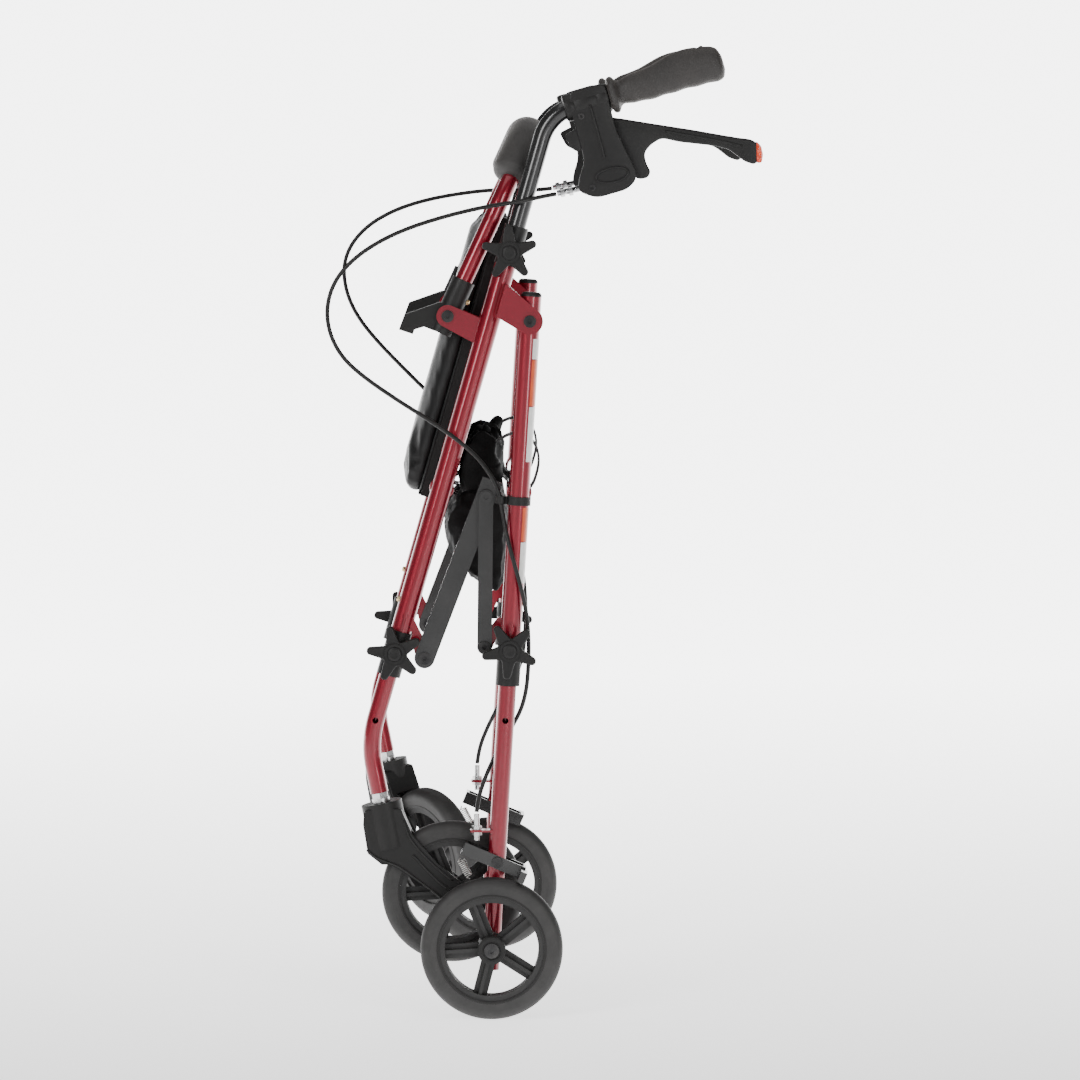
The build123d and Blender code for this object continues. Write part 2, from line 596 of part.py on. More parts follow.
with BuildPart() as rear_lower_leg:
    tube(REAR_LEG, REAR_INNER_FOOT, REAR_INNER_TOP, INNER_OD)
    # Plate on the front of the leg that stops the brake cable's adjuster.
    with BuildSketch(Plane.XY.offset(ADJUSTER_AT[1] - 1.2)):
        with Locations((REAR_AXLE_X + ADJUSTER_AT[0] + 7.0, -REAR_OUT)):
            RectangleRounded(28.0, 15.0, 4.0)
    extrude(amount=2.4)
    with BuildSketch(Plane.XY.offset(ADJUSTER_AT[1] - 5.0)):
        with Locations((REAR_AXLE_X + ADJUSTER_AT[0], -REAR_OUT)):
            Circle(3.0 + RUN)
    extrude(amount=10.0, mode=Mode.SUBTRACT)
    tube(REAR_LEG, REAR_INNER_FOOT + 4.0, REAR_INNER_TOP, INNER_BORE, mode=Mode.SUBTRACT)
    button_holes(REAR_LEG, REAR_BUTTON, REAR_LEG.y_dir)
    hole_at = on_line(REAR_AXLE, REAR_LEAN, REAR_KNOB - VISIBLE_HOLE_DROP)
    rod(hole_at, 238.0, 243.0, 3.3, mode=Mode.SUBTRACT)
    rod(REAR_AXLE, 220.0, 244.0, BOLT_R + RUN, mode=Mode.SUBTRACT)
    rod(BRAKE_PIVOT, 220.0, 244.0, 3.0 + RUN, mode=Mode.SUBTRACT)
save_both(rear_lower_leg, "rear_lower_leg")

# --- Casters and wheels ----------------------------------------------------------------------------

RIGHT_STEM = Axis(place(STEM_TOP, -FRONT_OUT), STEM.z_dir)


def save_casters(left, name):
    """Write the left caster's piece, and its mirror image swivelled inwards on the right."""
    save(left, f"left_{name}")
    swivelled = left.part.mirror(Plane.XZ).rotate(RIGHT_STEM, -RIGHT_SWIVEL)
    with BuildPart() as right:
        add(swivelled)
    save(right, f"right_{name}")


CROWN_TOP = -10.6
SLOT_HALF = TYRE_WIDTH / 2 + 1.2

with BuildPart() as caster_fork:
    fork_outline = [
        (-137, 218), (-97, 220), (-93, 210), (-85, 192), (-58, 161), (-33, 141), (-30, 129),
        (-33, 118), (-50, 117), (-60, 130), (-109, 160), (-118, 160), (-133, 172), (-138, 203),
    ]
    outline(181.0, 219.0, fork_outline, rounding=3.0)
    tube(STEM, CROWN_TOP - 50.0, CROWN_TOP, 44.0)
    rod(FRONT_AXLE, FRONT_OUT - SLOT_HALF, FRONT_OUT + SLOT_HALF, WHEEL_R + 3.5, mode=Mode.SUBTRACT)
    tube(STEM, CROWN_TOP - 60.0, CROWN_TOP + 1.0, 2 * (STEM_R + RUN), mode=Mode.SUBTRACT)
    rod(FRONT_AXLE, 180.0, 220.0, BOLT_R + RUN, mode=Mode.SUBTRACT)
save_casters(caster_fork, "caster_fork")

with BuildPart() as caster_fittings:
    tube(STEM, CROWN_TOP - 26.0, PLUG - 2.0, 2 * STEM_R)
    tube(STEM, CROWN_TOP + 0.1, -6.4, 19.0)
    with BuildSketch(STEM.offset(-6.4)):
        RegularPolygon(9.6, 6)
    extrude(amount=6.0)
    rod(FRONT_AXLE, 178.0, 219.1, BOLT_R)
    rod(FRONT_AXLE, 219.1, 222.6, 5.2)
    rod(FRONT_AXLE, 220.6, 223.0, 2.5, mode=Mode.SUBTRACT)
    rod(FRONT_AXLE, 176.0, 180.9, 7.0)
save_casters(caster_fittings, "caster_fittings")

SPOKES, FIRST_SPOKE = 5, 39.6
RIM_R, WINDOW_R, HUB_R = 56.0, 50.0, 15.0


def wheel(axle, out, hub_inner, hub_outer):
    """A moulded wheel core with ribbed spokes, and the tyre around it."""
    half = TYRE_WIDTH / 2
    rod(axle, out - half, out + half, WHEEL_R)
    fillet(edges().filter_by(GeomType.CIRCLE), 9.5)
    rod(axle, out - half - 1, out + half + 1, RIM_R, mode=Mode.SUBTRACT)
    with BuildSketch(side(out - half + 1.5)) as rim:
        with Locations(axle):
            Circle(RIM_R - RUN)
            Circle(WINDOW_R, mode=Mode.SUBTRACT)
    extrude(rim.sketch, amount=TYRE_WIDTH - 3.0, dir=OUTWARDS)
    rod(axle, hub_inner, hub_outer, HUB_R)
    for width, half_depth in ((15.0, 3.0), (4.0, 8.5)):
        with BuildSketch(side(out - half_depth)) as spokes:
            with Locations(axle):
                with PolarLocations((HUB_R + WINDOW_R) / 2, SPOKES, FIRST_SPOKE):
                    Rectangle(WINDOW_R - HUB_R + 3.0, width)
        extrude(spokes.sketch, amount=2 * half_depth, dir=OUTWARDS)
    rod(axle, hub_inner - 1, hub_outer + 1, BOLT_R + RUN, mode=Mode.SUBTRACT)


with BuildPart() as front_wheel:
    wheel(FRONT_AXLE, FRONT_OUT, FRONT_OUT - 13.0, FRONT_OUT + 13.0)
save_casters(front_wheel, "front_wheel")

with BuildPart() as rear_wheel:
    wheel(REAR_AXLE, REAR_WHEEL_OUT, 245.0, 283.0)
save_both(rear_wheel, "rear_wheel")

with BuildPart() as rear_fittings:
    rod(REAR_AXLE, 219.0, 284.0, BOLT_R)
    rod(REAR_AXLE, 283.3, 286.8, 8.0)
    rod(REAR_AXLE, 285.0, 287.0, 2.8, mode=Mode.SUBTRACT)
    rod(REAR_AXLE, 241.8, 244.7, 7.5)
    rod(REAR_AXLE, 218.0, 222.2, 7.0)
    rod(BRAKE_PIVOT, 216.6, 246.0, 3.0)
    rod(BRAKE_PIVOT, 244.8, 247.6, 6.0)
    rod(BRAKE_PIVOT, 216.4, 219.2, 5.5)
    with BuildSketch(Plane.XY.offset(188.0)):
        with Locations((REAR_AXLE_X + ADJUSTER_AT[0], -REAR_OUT)):
            Circle(3.0)
    extrude(amount=28.4)
    for bottom in (193.6, 200.0):
        with BuildSketch(Plane.XY.offset(bottom)):
            with Locations((REAR_AXLE_X + ADJUSTER_AT[0], -REAR_OUT)):
                RegularPolygon(5.6, 6)
        extrude(amount=3.6)
save_both(rear_fittings, "rear_fittings")

# --- Rear brakes -----------------------------------------------------------------------------------

BRAKE = Plane(
    origin=place(BRAKE_PIVOT, REAR_OUT),
    x_dir=(cos(radians(BRAKE_LEAN)), 0, sin(radians(BRAKE_LEAN))),
    z_dir=(0, -1, 0),
)
ARM_FRONT, ARM_REAR, ARM_HALF = -39.5, 31.0, 6.8
ARM_OUT, ARM_IN = 12.5, 10.5

with BuildPart() as brake_arm:
    slab(BRAKE, (ARM_FRONT, ARM_REAR), (-ARM_HALF, ARM_HALF), (-ARM_OUT, ARM_OUT))
    slab(BRAKE, (ARM_FRONT + 3, ARM_REAR - 3), (-9.0, 9.0), (-ARM_IN, ARM_IN), mode=Mode.SUBTRACT)
    slab(BRAKE, (ARM_REAR - 5.0, ARM_REAR + 2.0), (-ARM_HALF, ARM_HALF - 2.0), (ARM_OUT - 0.5, 43.0))
    rod(BRAKE_PIVOT, 218.0, 246.0, 3.0 + RUN, mode=Mode.SUBTRACT)
save_both(brake_arm, "brake_arm")

# --- Star knobs ------------------------------------------------------------------------------------


def star_knob(origin, lean, up, out, first_arm):
    """A five-armed clamping knob with its threaded stud."""
    centre = on_line(origin, lean, up)
    with BuildSketch(side(out + 16.0)) as star:
        for arm in range(5):
            angle = radians(first_arm + 72 * arm)
            tip = (centre[0] + KNOB_ARM * cos(angle), centre[1] + KNOB_ARM * sin(angle))
            with BuildSketch(side(out + 16.0), mode=Mode.PRIVATE) as one_arm:
                with Locations(centre):
                    Circle(9.0)
                with Locations(tip):
                    Circle(4.2)
                make_hull()
            add(one_arm.sketch_local)
        with Locations(centre):
            Circle(12.0)
        offset(amount=3.0)
        offset(amount=-3.0)
    extrude(star.sketch, amount=9.0, dir=OUTWARDS)
    fillet(faces().sort_by(Axis.Y)[0].edges(), 1.5)
    rod(centre, out + 16.0, out + 27.0, 11.0)
    rod(centre, out + 25.6, out + 28.0, 8.0, mode=Mode.SUBTRACT)
    rod(centre, out + 9.9, out + 17.0, 3.0)


with BuildPart() as handle_knob:
    star_knob(FRONT_FOOT, FRONT_LEAN, HANDLE_KNOB, FRONT_OUT, 20.0)
save_both(handle_knob, "handle_knob")

with BuildPart() as front_knob:
    star_knob(FRONT_FOOT, FRONT_LEAN, FRONT_KNOB, FRONT_OUT, 29.0)
save_both(front_knob, "front_leg_knob")

with BuildPart() as rear_knob:
    star_knob(REAR_AXLE, REAR_LEAN, REAR_KNOB, REAR_OUT, 47.5)
save_both(rear_knob, "rear_leg_knob")

# --- Brake cables ----------------------------------------------------------------------------------

# Each cable leaves the adjuster under the handle and makes an open loop in front. It enters the clip on
# the rear leg, and goes on round the leg to the adjuster above the brake. Points are (x, z, out).
LEFT_LOOP = [
    (69, 879, 200), (52, 876, 207), (31, 871, 215), (0, 867, 218.5), (-41, 858, 219), (-90, 843, 219),
    (-127, 825, 220), (-154, 804, 221), (-170, 781, 221), (-176, 755, 222), (-172, 729, 222),
    (-159, 705, 222), (-137, 685, 221.5), (-104, 662, 221), (-69, 640, 221), (-38, 619, 222),
    (-15, 599, 224.5), (-1, 581, 228.5), (6.5, 566, 231.5), (9.6, 555, 233.1),
]
RIGHT_LOOP = [
    (69, 879, 200), (52, 877, 207), (31, 877, 215), (0, 877, 218.5), (-35, 873, 219), (-73, 866, 219.5),
    (-108, 855, 220), (-137, 839, 221), (-156, 820, 221), (-166, 800, 221.5), (-168, 779, 222),
    (-163, 755, 222), (-151, 731, 222), (-131, 706, 221.5), (-106, 680, 221), (-77, 651, 221),
    (-50, 626, 222), (-26, 604, 224), (-6, 584, 228), (6.2, 566.5, 231.4), (9.6, 555, 233.1),
]
LEG_RUN = [
    (9.9, 553, 233.4), (11.8, 541, 236), (15.5, 520, 243), (21, 498, 249.5), (28, 474, 249.5),
    (34.5, 449, 244), (38.5, 425, 237), (40, 400, 233), (39.5, 374, 231.5), (37.5, 350, 229),
    (32, 328, 223.5), (22, 309, 218.5), (11, 291, 217.5), (1, 272, 220.5), (-8, 252, 226.5),
    (-14, 234, 231), (-16, 218.5, 232),
]
REACH = 0.45


def cable(route):
    """A cable's tube of straight runs joined by arcs as large as the runs allow."""
    points = [place((x, z), out) for x, z, out in route]
    radii = []
    for before, here, after in zip(points, points[1:], points[2:]):
        turn = (here - before).get_angle(after - here)
        shorter = min((here - before).length, (after - here).length)
        radii.append(REACH * shorter / tan(radians(turn / 2)))
    with BuildLine() as run:
        FilletPolyline(*points, radius=radii)
    wire = run.wire()
    with BuildSketch(Plane(origin=wire @ 0, z_dir=wire % 0)) as section:
        Circle(CABLE_OD / 2)
    sweep(section.sketch, path=wire)
    print("cable length", round(wire.length, 1), "smallest radius", round(min(radii), 1))


with BuildPart() as left_cable:
    cable(LEFT_LOOP)
save(left_cable, "left_brake_cable")

with BuildPart() as right_cable:
    cable([(x, z, -out) for x, z, out in RIGHT_LOOP])
save(right_cable, "right_brake_cable")

with BuildPart() as leg_cables:
    cable(LEG_RUN)
    mirror(about=Plane.XZ)
save(leg_cables, "rear_leg_cables")
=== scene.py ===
import bpy
import bmesh
import json
import math
from math import cos, pi, radians, sin
from mathutils import Matrix, Vector, noise


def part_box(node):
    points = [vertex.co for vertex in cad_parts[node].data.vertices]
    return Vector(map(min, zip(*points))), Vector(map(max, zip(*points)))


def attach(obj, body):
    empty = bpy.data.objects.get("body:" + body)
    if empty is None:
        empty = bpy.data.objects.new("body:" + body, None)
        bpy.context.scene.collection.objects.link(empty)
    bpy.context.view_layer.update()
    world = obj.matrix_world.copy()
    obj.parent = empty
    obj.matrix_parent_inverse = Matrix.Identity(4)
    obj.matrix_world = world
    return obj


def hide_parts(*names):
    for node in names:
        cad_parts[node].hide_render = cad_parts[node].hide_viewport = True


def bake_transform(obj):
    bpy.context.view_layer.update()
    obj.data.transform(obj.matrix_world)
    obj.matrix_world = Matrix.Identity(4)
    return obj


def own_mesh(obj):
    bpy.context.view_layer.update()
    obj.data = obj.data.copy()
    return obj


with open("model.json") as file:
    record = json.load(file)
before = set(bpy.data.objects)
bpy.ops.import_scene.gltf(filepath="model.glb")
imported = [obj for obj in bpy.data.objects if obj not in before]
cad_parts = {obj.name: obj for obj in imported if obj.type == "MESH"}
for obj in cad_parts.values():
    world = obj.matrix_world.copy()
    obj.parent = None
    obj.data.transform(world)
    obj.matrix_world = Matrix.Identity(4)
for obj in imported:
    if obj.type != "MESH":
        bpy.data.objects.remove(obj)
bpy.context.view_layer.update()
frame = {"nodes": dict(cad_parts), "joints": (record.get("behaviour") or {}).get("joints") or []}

# The left rear axle fixes where side points, (x behind the axle, z above the floor) in mm, lie.
low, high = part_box("left_rear_wheel")
AXLE_X = (low.x + high.x) / 2
SIDES = (("left", 1), ("right", -1))


def at(x, z, out):
    """Row-frame point of a side point in mm, at a distance out on the left."""
    return Vector((AXLE_X + x / 1000, -out / 1000, z / 1000))


def on_line(origin, lean, up, back=0.0):
    """Side point a distance up a leaning line and back from it, in mm."""
    t = radians(lean)
    return (origin[0] + up * sin(t) + back * cos(t), origin[1] + up * cos(t) - back * sin(t))


# --- Camera, light and floor -------------------------------------------------------------------

camera = bpy.data.objects.new("camera", bpy.data.cameras.new("camera"))
bpy.context.scene.collection.objects.link(camera)
camera.data.lens = 196.03
camera.data.sensor_width = 36.0
camera.data.clip_end = 60.0
camera.location = (AXLE_X - 0.00648, -6.494, 0.97915)
camera.rotation_euler = (radians(90 - 4.2787), 0.0, radians(-0.5343))
bpy.context.scene.camera = camera


def area_light(name, location, target, size, power):
    light = bpy.data.lights.new(name, "AREA")
    light.shape = "RECTANGLE"
    light.size, light.size_y = size
    light.energy = power
    lamp = bpy.data.objects.new(name, light)
    bpy.context.scene.collection.objects.link(lamp)
    lamp.location = location
    lamp.rotation_euler = (Vector(target) - Vector(location)).to_track_quat("-Z", "Y").to_euler()
    return lamp


area_light("key", (-2.0, -2.8, 1.9), (0, 0, 0.5), (0.9, 2.0), 62)
area_light("fill", (1.5, -3.2, 1.3), (0, 0, 0.5), (0.7, 2.2), 40)
area_light("rim", (0.4, 2.6, 2.4), (0, 0, 0.6), (2.6, 1.6), 10)
area_light("top", (0.0, -0.4, 3.4), (0, 0, 0.0), (3.0, 3.0), 34)

world = bpy.data.worlds.new("studio")
bpy.context.scene.world = world
world.use_nodes = True
world.node_tree.nodes["Background"].inputs["Color"].default_value = (1.0, 1.0, 1.0, 1.0)
# The sky behind the walker is bright in a band at the horizon, where it meets the floor, and dim elsewhere.
direction = world.node_tree.nodes.new("ShaderNodeTexCoord")
height = world.node_tree.nodes.new("ShaderNodeSeparateXYZ")
band = world.node_tree.nodes.new("ShaderNodeMapRange")
for key, value in (("From Min", 0.03), ("From Max", 0.22), ("To Min", 5.6), ("To Max", 0.0)):
    band.inputs[key].default_value = value
world.node_tree.links.new(direction.outputs["Generated"], height.inputs[0])
world.node_tree.links.new(height.outputs["Z"], band.inputs["Value"])
behind = world.node_tree.nodes.new("ShaderNodeMapRange")
for key, value in (("From Min", 0.2), ("From Max", 0.8), ("To Min", 0.03), ("To Max", 1.0)):
    behind.inputs[key].default_value = value
world.node_tree.links.new(height.outputs["Y"], behind.inputs["Value"])
level = world.node_tree.nodes.new("ShaderNodeMath")
level.operation = "MULTIPLY_ADD"
level.inputs[2].default_value = 0.12
world.node_tree.links.new(band.outputs["Result"], level.inputs[0])
world.node_tree.links.new(behind.outputs["Result"], level.inputs[1])
world.node_tree.links.new(level.outputs["Value"], world.node_tree.nodes["Background"].inputs["Strength"])

# --- Materials ---------------------------------------------------------------------------------


class Finish:
    """A node material under construction, with its principled shader."""

    def __init__(self, name, rough, metallic=0.0):
        self.material = bpy.data.materials.new(name)
        self.material.use_nodes = True
        self.tree = self.material.node_tree
        self.shader = self.tree.nodes["Principled BSDF"]
        self.shader.inputs["Roughness"].default_value = rough
        self.shader.inputs["Metallic"].default_value = metallic
        coordinates = self.tree.nodes.new("ShaderNodeTexCoord")
        self.place = coordinates.outputs["Object"]

    def node(self, kind, **settings):
        made = self.tree.nodes.new(kind)
        for key, value in settings.items():
            setattr(made, key, value)
        return made

    def link(self, a, b):
        self.tree.links.new(a, b)

    def noise(self, scale, detail=4.0, rough=0.5, stretch=None):
        made = self.node("ShaderNodeTexNoise")
        made.inputs["Scale"].default_value = scale
        made.inputs["Detail"].default_value = detail
        made.inputs["Roughness"].default_value = rough
        source = self.place
        if stretch:
            mapping = self.node("ShaderNodeMapping")
            mapping.inputs["Scale"].default_value = stretch
            self.link(self.place, mapping.inputs["Vector"])
            source = mapping.outputs["Vector"]
        self.link(source, made.inputs["Vector"])
        return made.outputs["Fac"]

    def cells(self, scale, feature="F1"):
        made = self.node("ShaderNodeTexVoronoi", feature=feature)
        made.inputs["Scale"].default_value = scale
        self.link(self.place, made.inputs["Vector"])
        return made.outputs["Distance"]

    def ramp(self, value, stops):
        made = self.node("ShaderNodeValToRGB")
        band = made.color_ramp
        band.elements[0].position, band.elements[0].color = stops[0][0], (*stops[0][1], 1)
        band.elements[1].position, band.elements[1].color = stops[-1][0], (*stops[-1][1], 1)
        for position, colour in stops[1:-1]:
            band.elements.new(position).color = (*colour, 1)
        self.link(value, made.inputs["Fac"])
        return made.outputs["Color"]

    def colour(self, value, dark, light, low=0.3, high=0.7):
        self.link(self.ramp(value, [(low, dark), (high, light)]), self.shader.inputs["Base Color"])

    def roughness(self, value, low, high):
        made = self.node("ShaderNodeMapRange")
        made.inputs["To Min"].default_value = low
        made.inputs["To Max"].default_value = high
        self.link(value, made.inputs["Value"])
        self.link(made.outputs["Result"], self.shader.inputs["Roughness"])

    def bump(self, value, strength, distance):
        made = self.node("ShaderNodeBump")
        made.inputs["Strength"].default_value = strength
        made.inputs["Distance"].default_value = distance
        self.link(value, made.inputs["Height"])
        if self.shader.inputs["Normal"].links:
            self.link(self.shader.inputs["Normal"].links[0].from_socket, made.inputs["Normal"])
        self.link(made.outputs["Normal"], self.shader.inputs["Normal"])

    def coat(self, weight, rough):
        self.shader.inputs["Coat Weight"].default_value = weight
        self.shader.inputs["Coat Roughness"].default_value = rough


def metallic_red():
    f = Finish("metallic_red", 0.34, 0.55)
    f.colour(f.noise(3500, 2), (0.15, 0.0, 0.006), (0.29, 0.0, 0.019), 0.35, 0.68)
    f.roughness(f.noise(18, 3), 0.28, 0.4)
    f.coat(0.9, 0.08)
    f.bump(f.noise(60, 3), 0.08, 0.0006)
    return f.material


def gloss_black(name="gloss_black", dark=(0.006, 0.006, 0.007), light=(0.016, 0.015, 0.015)):
    f = Finish(name, 0.22)
    f.colour(f.noise(30, 4), dark, light)
    f.roughness(f.noise(45, 5), 0.16, 0.32)
    f.coat(0.5, 0.12)
    f.bump(f.noise(700, 3), 0.06, 0.0002)
    return f.material


def moulded(name="moulded_black", shade=0.0075, rough=(0.38, 0.56), grain=1600):
    f = Finish(name, 0.48)
    dark = tuple(shade * c for c in (0.8, 0.77, 0.75))
    light = tuple(shade * c for c in (1.35, 1.28, 1.24))
    f.colour(f.noise(24, 5), dark, light)
    f.roughness(f.noise(70, 5), *rough)
    f.bump(f.noise(grain, 3), 0.22, 0.0003)
    f.shader.inputs["Specular IOR Level"].default_value = 0.3
    f.bump(f.noise(90, 3), 0.08, 0.001)
    return f.material


def rubber():
    f = Finish("pebbled_rubber", 0.55)
    f.colour(f.noise(26, 4), (0.010, 0.0088, 0.0082), (0.021, 0.018, 0.0165))
    f.roughness(f.noise(120, 4), 0.42, 0.66)
    f.bump(f.cells(620), 0.55, 0.0006)
    f.shader.inputs["Sheen Weight"].default_value = 0.12
    f.shader.inputs["Sheen Tint"].default_value = (0.85, 0.75, 0.68, 1)
    return f.material


def foam_skin():
    f = Finish("foam_skin", 0.6)
    f.colour(f.noise(22, 5), (0.015, 0.0138, 0.0132), (0.030, 0.0275, 0.026))
    f.roughness(f.noise(60, 4), 0.5, 0.72)
    f.bump(f.noise(1900, 4), 0.35, 0.0005)
    f.bump(f.noise(34, 4), 0.3, 0.003)
    f.shader.inputs["Sheen Weight"].default_value = 0.22
    f.shader.inputs["Sheen Roughness"].default_value = 0.4
    f.shader.inputs["Sheen Tint"].default_value = (0.8, 0.76, 0.74, 1)
    return f.material


def vinyl():
    f = Finish("grained_vinyl", 0.45)
    f.colour(f.noise(20, 5), (0.006, 0.006, 0.0063), (0.013, 0.0125, 0.0125))
    f.roughness(f.noise(80, 4), 0.34, 0.52)
    f.bump(f.cells(520, "DISTANCE_TO_EDGE"), 0.35, 0.0005)
    f.bump(f.noise(1400, 3), 0.2, 0.0003)
    f.shader.inputs["Specular IOR Level"].default_value = 0.2
    return f.material


def nylon():
    """Plain-woven cloth: two crossed sets of threads under soft creases."""
    f = Finish("nylon_cloth", 0.42)
    weave = []
    for stretch in ((1.0, 0.15, 0.15), (0.15, 0.15, 1.0), (0.15, 1.0, 0.15)):
        weave.append(f.noise(2400, 1, 0.4, stretch))
    crossed = f.node("ShaderNodeMath", operation="MAXIMUM")
    f.link(weave[0], crossed.inputs[0])
    f.link(weave[1], crossed.inputs[1])
    both = f.node("ShaderNodeMath", operation="MAXIMUM")
    f.link(crossed.outputs[0], both.inputs[0])
    f.link(weave[2], both.inputs[1])
    f.colour(f.noise(14, 5), (0.0042,) * 3, (0.0102,) * 3)
    f.roughness(f.noise(50, 4), 0.55, 0.72)
    f.bump(both.outputs[0], 0.35, 0.0004)
    f.bump(f.noise(38, 5, 0.6), 0.45, 0.004)
    f.shader.inputs["Specular IOR Level"].default_value = 0.1
    return f.material


def webbing():
    """Narrow woven strap with ribs across it."""
    f = Finish("strap_webbing", 0.5)
    wave = f.node("ShaderNodeTexWave", wave_type="BANDS", bands_direction="DIAGONAL")
    wave.inputs["Scale"].default_value = 320
    wave.inputs["Distortion"].default_value = 0.6
    f.link(f.place, wave.inputs["Vector"])
    f.colour(f.noise(40, 4), (0.008, 0.008, 0.009), (0.022, 0.021, 0.022))
    f.roughness(f.noise(90, 3), 0.4, 0.58)
    f.bump(wave.outputs["Fac"], 0.5, 0.0005)
    f.shader.inputs["Sheen Weight"].default_value = 0.08
    return f.material


def plated(name, dark, light, rough=(0.2, 0.38)):
    """Plated metal with fine scratches along one way."""
    scratch = (1.0, 1.0, 12.0)
    f = Finish(name, 0.28, 1.0)
    f.colour(f.noise(70, 5), dark, light)
    f.roughness(f.noise(160, 4, 0.6, scratch), *rough)
    f.bump(f.noise(500, 3, 0.5, scratch), 0.08, 0.0002)
    return f.material


def two_metals(name, height):
    """Blackened metal below a height in metres, and bright plating above it."""
    f = Finish(name, 0.28, 1.0)
    parts = f.node("ShaderNodeSeparateXYZ")
    f.link(f.place, parts.inputs[0])
    above = f.node("ShaderNodeMath", operation="GREATER_THAN")
    f.link(parts.outputs["Z"], above.inputs[0])
    above.inputs[1].default_value = height
    grain = f.noise(70, 5)
    dark = f.ramp(grain, [(0.3, (0.03, 0.03, 0.032)), (0.7, (0.075, 0.073, 0.072))])
    bright = f.ramp(grain, [(0.3, (0.62, 0.62, 0.62)), (0.7, (0.82, 0.82, 0.82))])
    mixed = f.node("ShaderNodeMix", data_type="RGBA")
    f.link(above.outputs[0], mixed.inputs["Factor"])
    f.link(dark, mixed.inputs[6])
    f.link(bright, mixed.inputs[7])
    f.link(mixed.outputs[2], f.shader.inputs["Base Color"])
    f.roughness(f.noise(160, 4), 0.18, 0.36)
    f.bump(f.noise(500, 3), 0.08, 0.0002)
    return f.material


def reflector_red():
    f = Finish("reflector_red", 0.12)
    f.colour(f.cells(420, "DISTANCE_TO_EDGE"), (0.55, 0.03, 0.008), (0.95, 0.10, 0.02), 0.0, 0.35)
    f.roughness(f.noise(60, 3), 0.08, 0.2)
    f.bump(f.cells(420), 0.5, 0.0008)
    f.coat(1.0, 0.03)
    return f.material


def strip(name, dark, light):
    f = Finish(name, 0.35)
    f.colour(f.noise(60, 4), dark, light)
    f.roughness(f.noise(120, 3), 0.28, 0.42)
    f.bump(f.noise(900, 2), 0.05, 0.0002)
    f.coat(0.4, 0.15)
    return f.material


CORE_R = 0.0561


def wheel_finish(name, centre, axis):
    """Charcoal tyre outside the rim's radius, and a darker moulded core inside it."""
    f = Finish(name, 0.6)
    offset = f.node("ShaderNodeVectorMath", operation="SUBTRACT")
    f.link(f.place, offset.inputs[0])
    offset.inputs[1].default_value = centre
    across = f.node("ShaderNodeVectorMath", operation="CROSS_PRODUCT")
    f.link(offset.outputs["Vector"], across.inputs[0])
    across.inputs[1].default_value = axis
    radius = f.node("ShaderNodeVectorMath", operation="LENGTH")
    f.link(across.outputs["Vector"], radius.inputs[0])
    tyre = f.node("ShaderNodeMath", operation="GREATER_THAN")
    f.link(radius.outputs["Value"], tyre.inputs[0])
    tyre.inputs[1].default_value = CORE_R
    core_shade = f.ramp(f.noise(26, 5), [(0.3, (0.0065, 0.0063, 0.0061)), (0.7, (0.012, 0.0113, 0.011))])
    tyre_shade = f.ramp(f.noise(40, 5), [(0.3, (0.014, 0.0134, 0.013)), (0.7, (0.025, 0.0236, 0.023))])
    mixed = f.node("ShaderNodeMix", data_type="RGBA")
    f.link(tyre.outputs[0], mixed.inputs["Factor"])
    f.link(core_shade, mixed.inputs[6])
    f.link(tyre_shade, mixed.inputs[7])
    f.link(mixed.outputs[2], f.shader.inputs["Base Color"])
    f.roughness(f.noise(110, 4), 0.45, 0.7)
    f.bump(f.noise(1300, 3), 0.3, 0.0004)
    return f.material


RED = metallic_red()
GLOSS = gloss_black()
SATIN = gloss_black("satin_black", (0.009, 0.009, 0.009), (0.02, 0.019, 0.019))
PLASTIC = moulded()
SOFT_PLASTIC = moulded("cable_sheath", 0.008, (0.3, 0.45), 900)
GRIP = rubber()
FOAM = foam_skin()
VINYL = vinyl()
NYLON = nylon()
WEBBING = webbing()
ZINC = plated("zinc_plate", (0.50, 0.49, 0.47), (0.72, 0.71, 0.69))
CHROME = plated("bright_chrome", (0.66, 0.66, 0.67), (0.86, 0.86, 0.87), (0.05, 0.16))
BRASS = plated("button_brass", (0.62, 0.42, 0.20), (0.82, 0.62, 0.34))
DARK_BOLT = plated("black_oxide", (0.03, 0.03, 0.032), (0.075, 0.073, 0.072), (0.28, 0.45))
REFLECTOR = reflector_red()
AXLE_METAL = two_metals("dark_axle_bright_adjuster", 0.185)


KNOBS = ("handle_knob", "front_leg_knob", "rear_leg_knob")


def paint(name, finish):
    """Gives a CAD node one finish."""
    slots = frame["nodes"][name].material_slots
    for slot in slots:
        slot.material = finish


for name in ("front_cross_tube", "rear_cross_tube", "backrest_tube"):
    paint(name, RED)
for side, _ in SIDES:
    for name in ("front_leg", "rear_leg", "front_lower_leg", "rear_lower_leg"):
        paint(f"{side}_{name}", RED)
    paint(f"{side}_handle_tube", GLOSS)
    for name in ("front_link", "rear_link", "brake_arm"):
        paint(f"{side}_{name}", SATIN)
    for name in (*KNOBS, "caster_fork", "brake_housing", "brake_lever"):
        paint(f"{side}_{name}", PLASTIC)
    paint(f"{side}_caster_fittings", AXLE_METAL)
    paint(f"{side}_rear_fittings", AXLE_METAL)
    for name in ("front_leg_button", "rear_leg_button"):
        paint(f"{side}_{name}", BRASS)
    paint(f"{side}_grip", GRIP)
    paint(f"{side}_brake_cable", SOFT_PLASTIC)
    for end in ("front", "rear"):
        joint = next(j for j in frame["joints"] if j["name"] == f"{side}_{end}_wheel_spin")
        finish = wheel_finish(f"{side}_{end}_tyre_and_core", joint["pos_m"], joint["axis"])
        paint(f"{side}_{end}_wheel", finish)
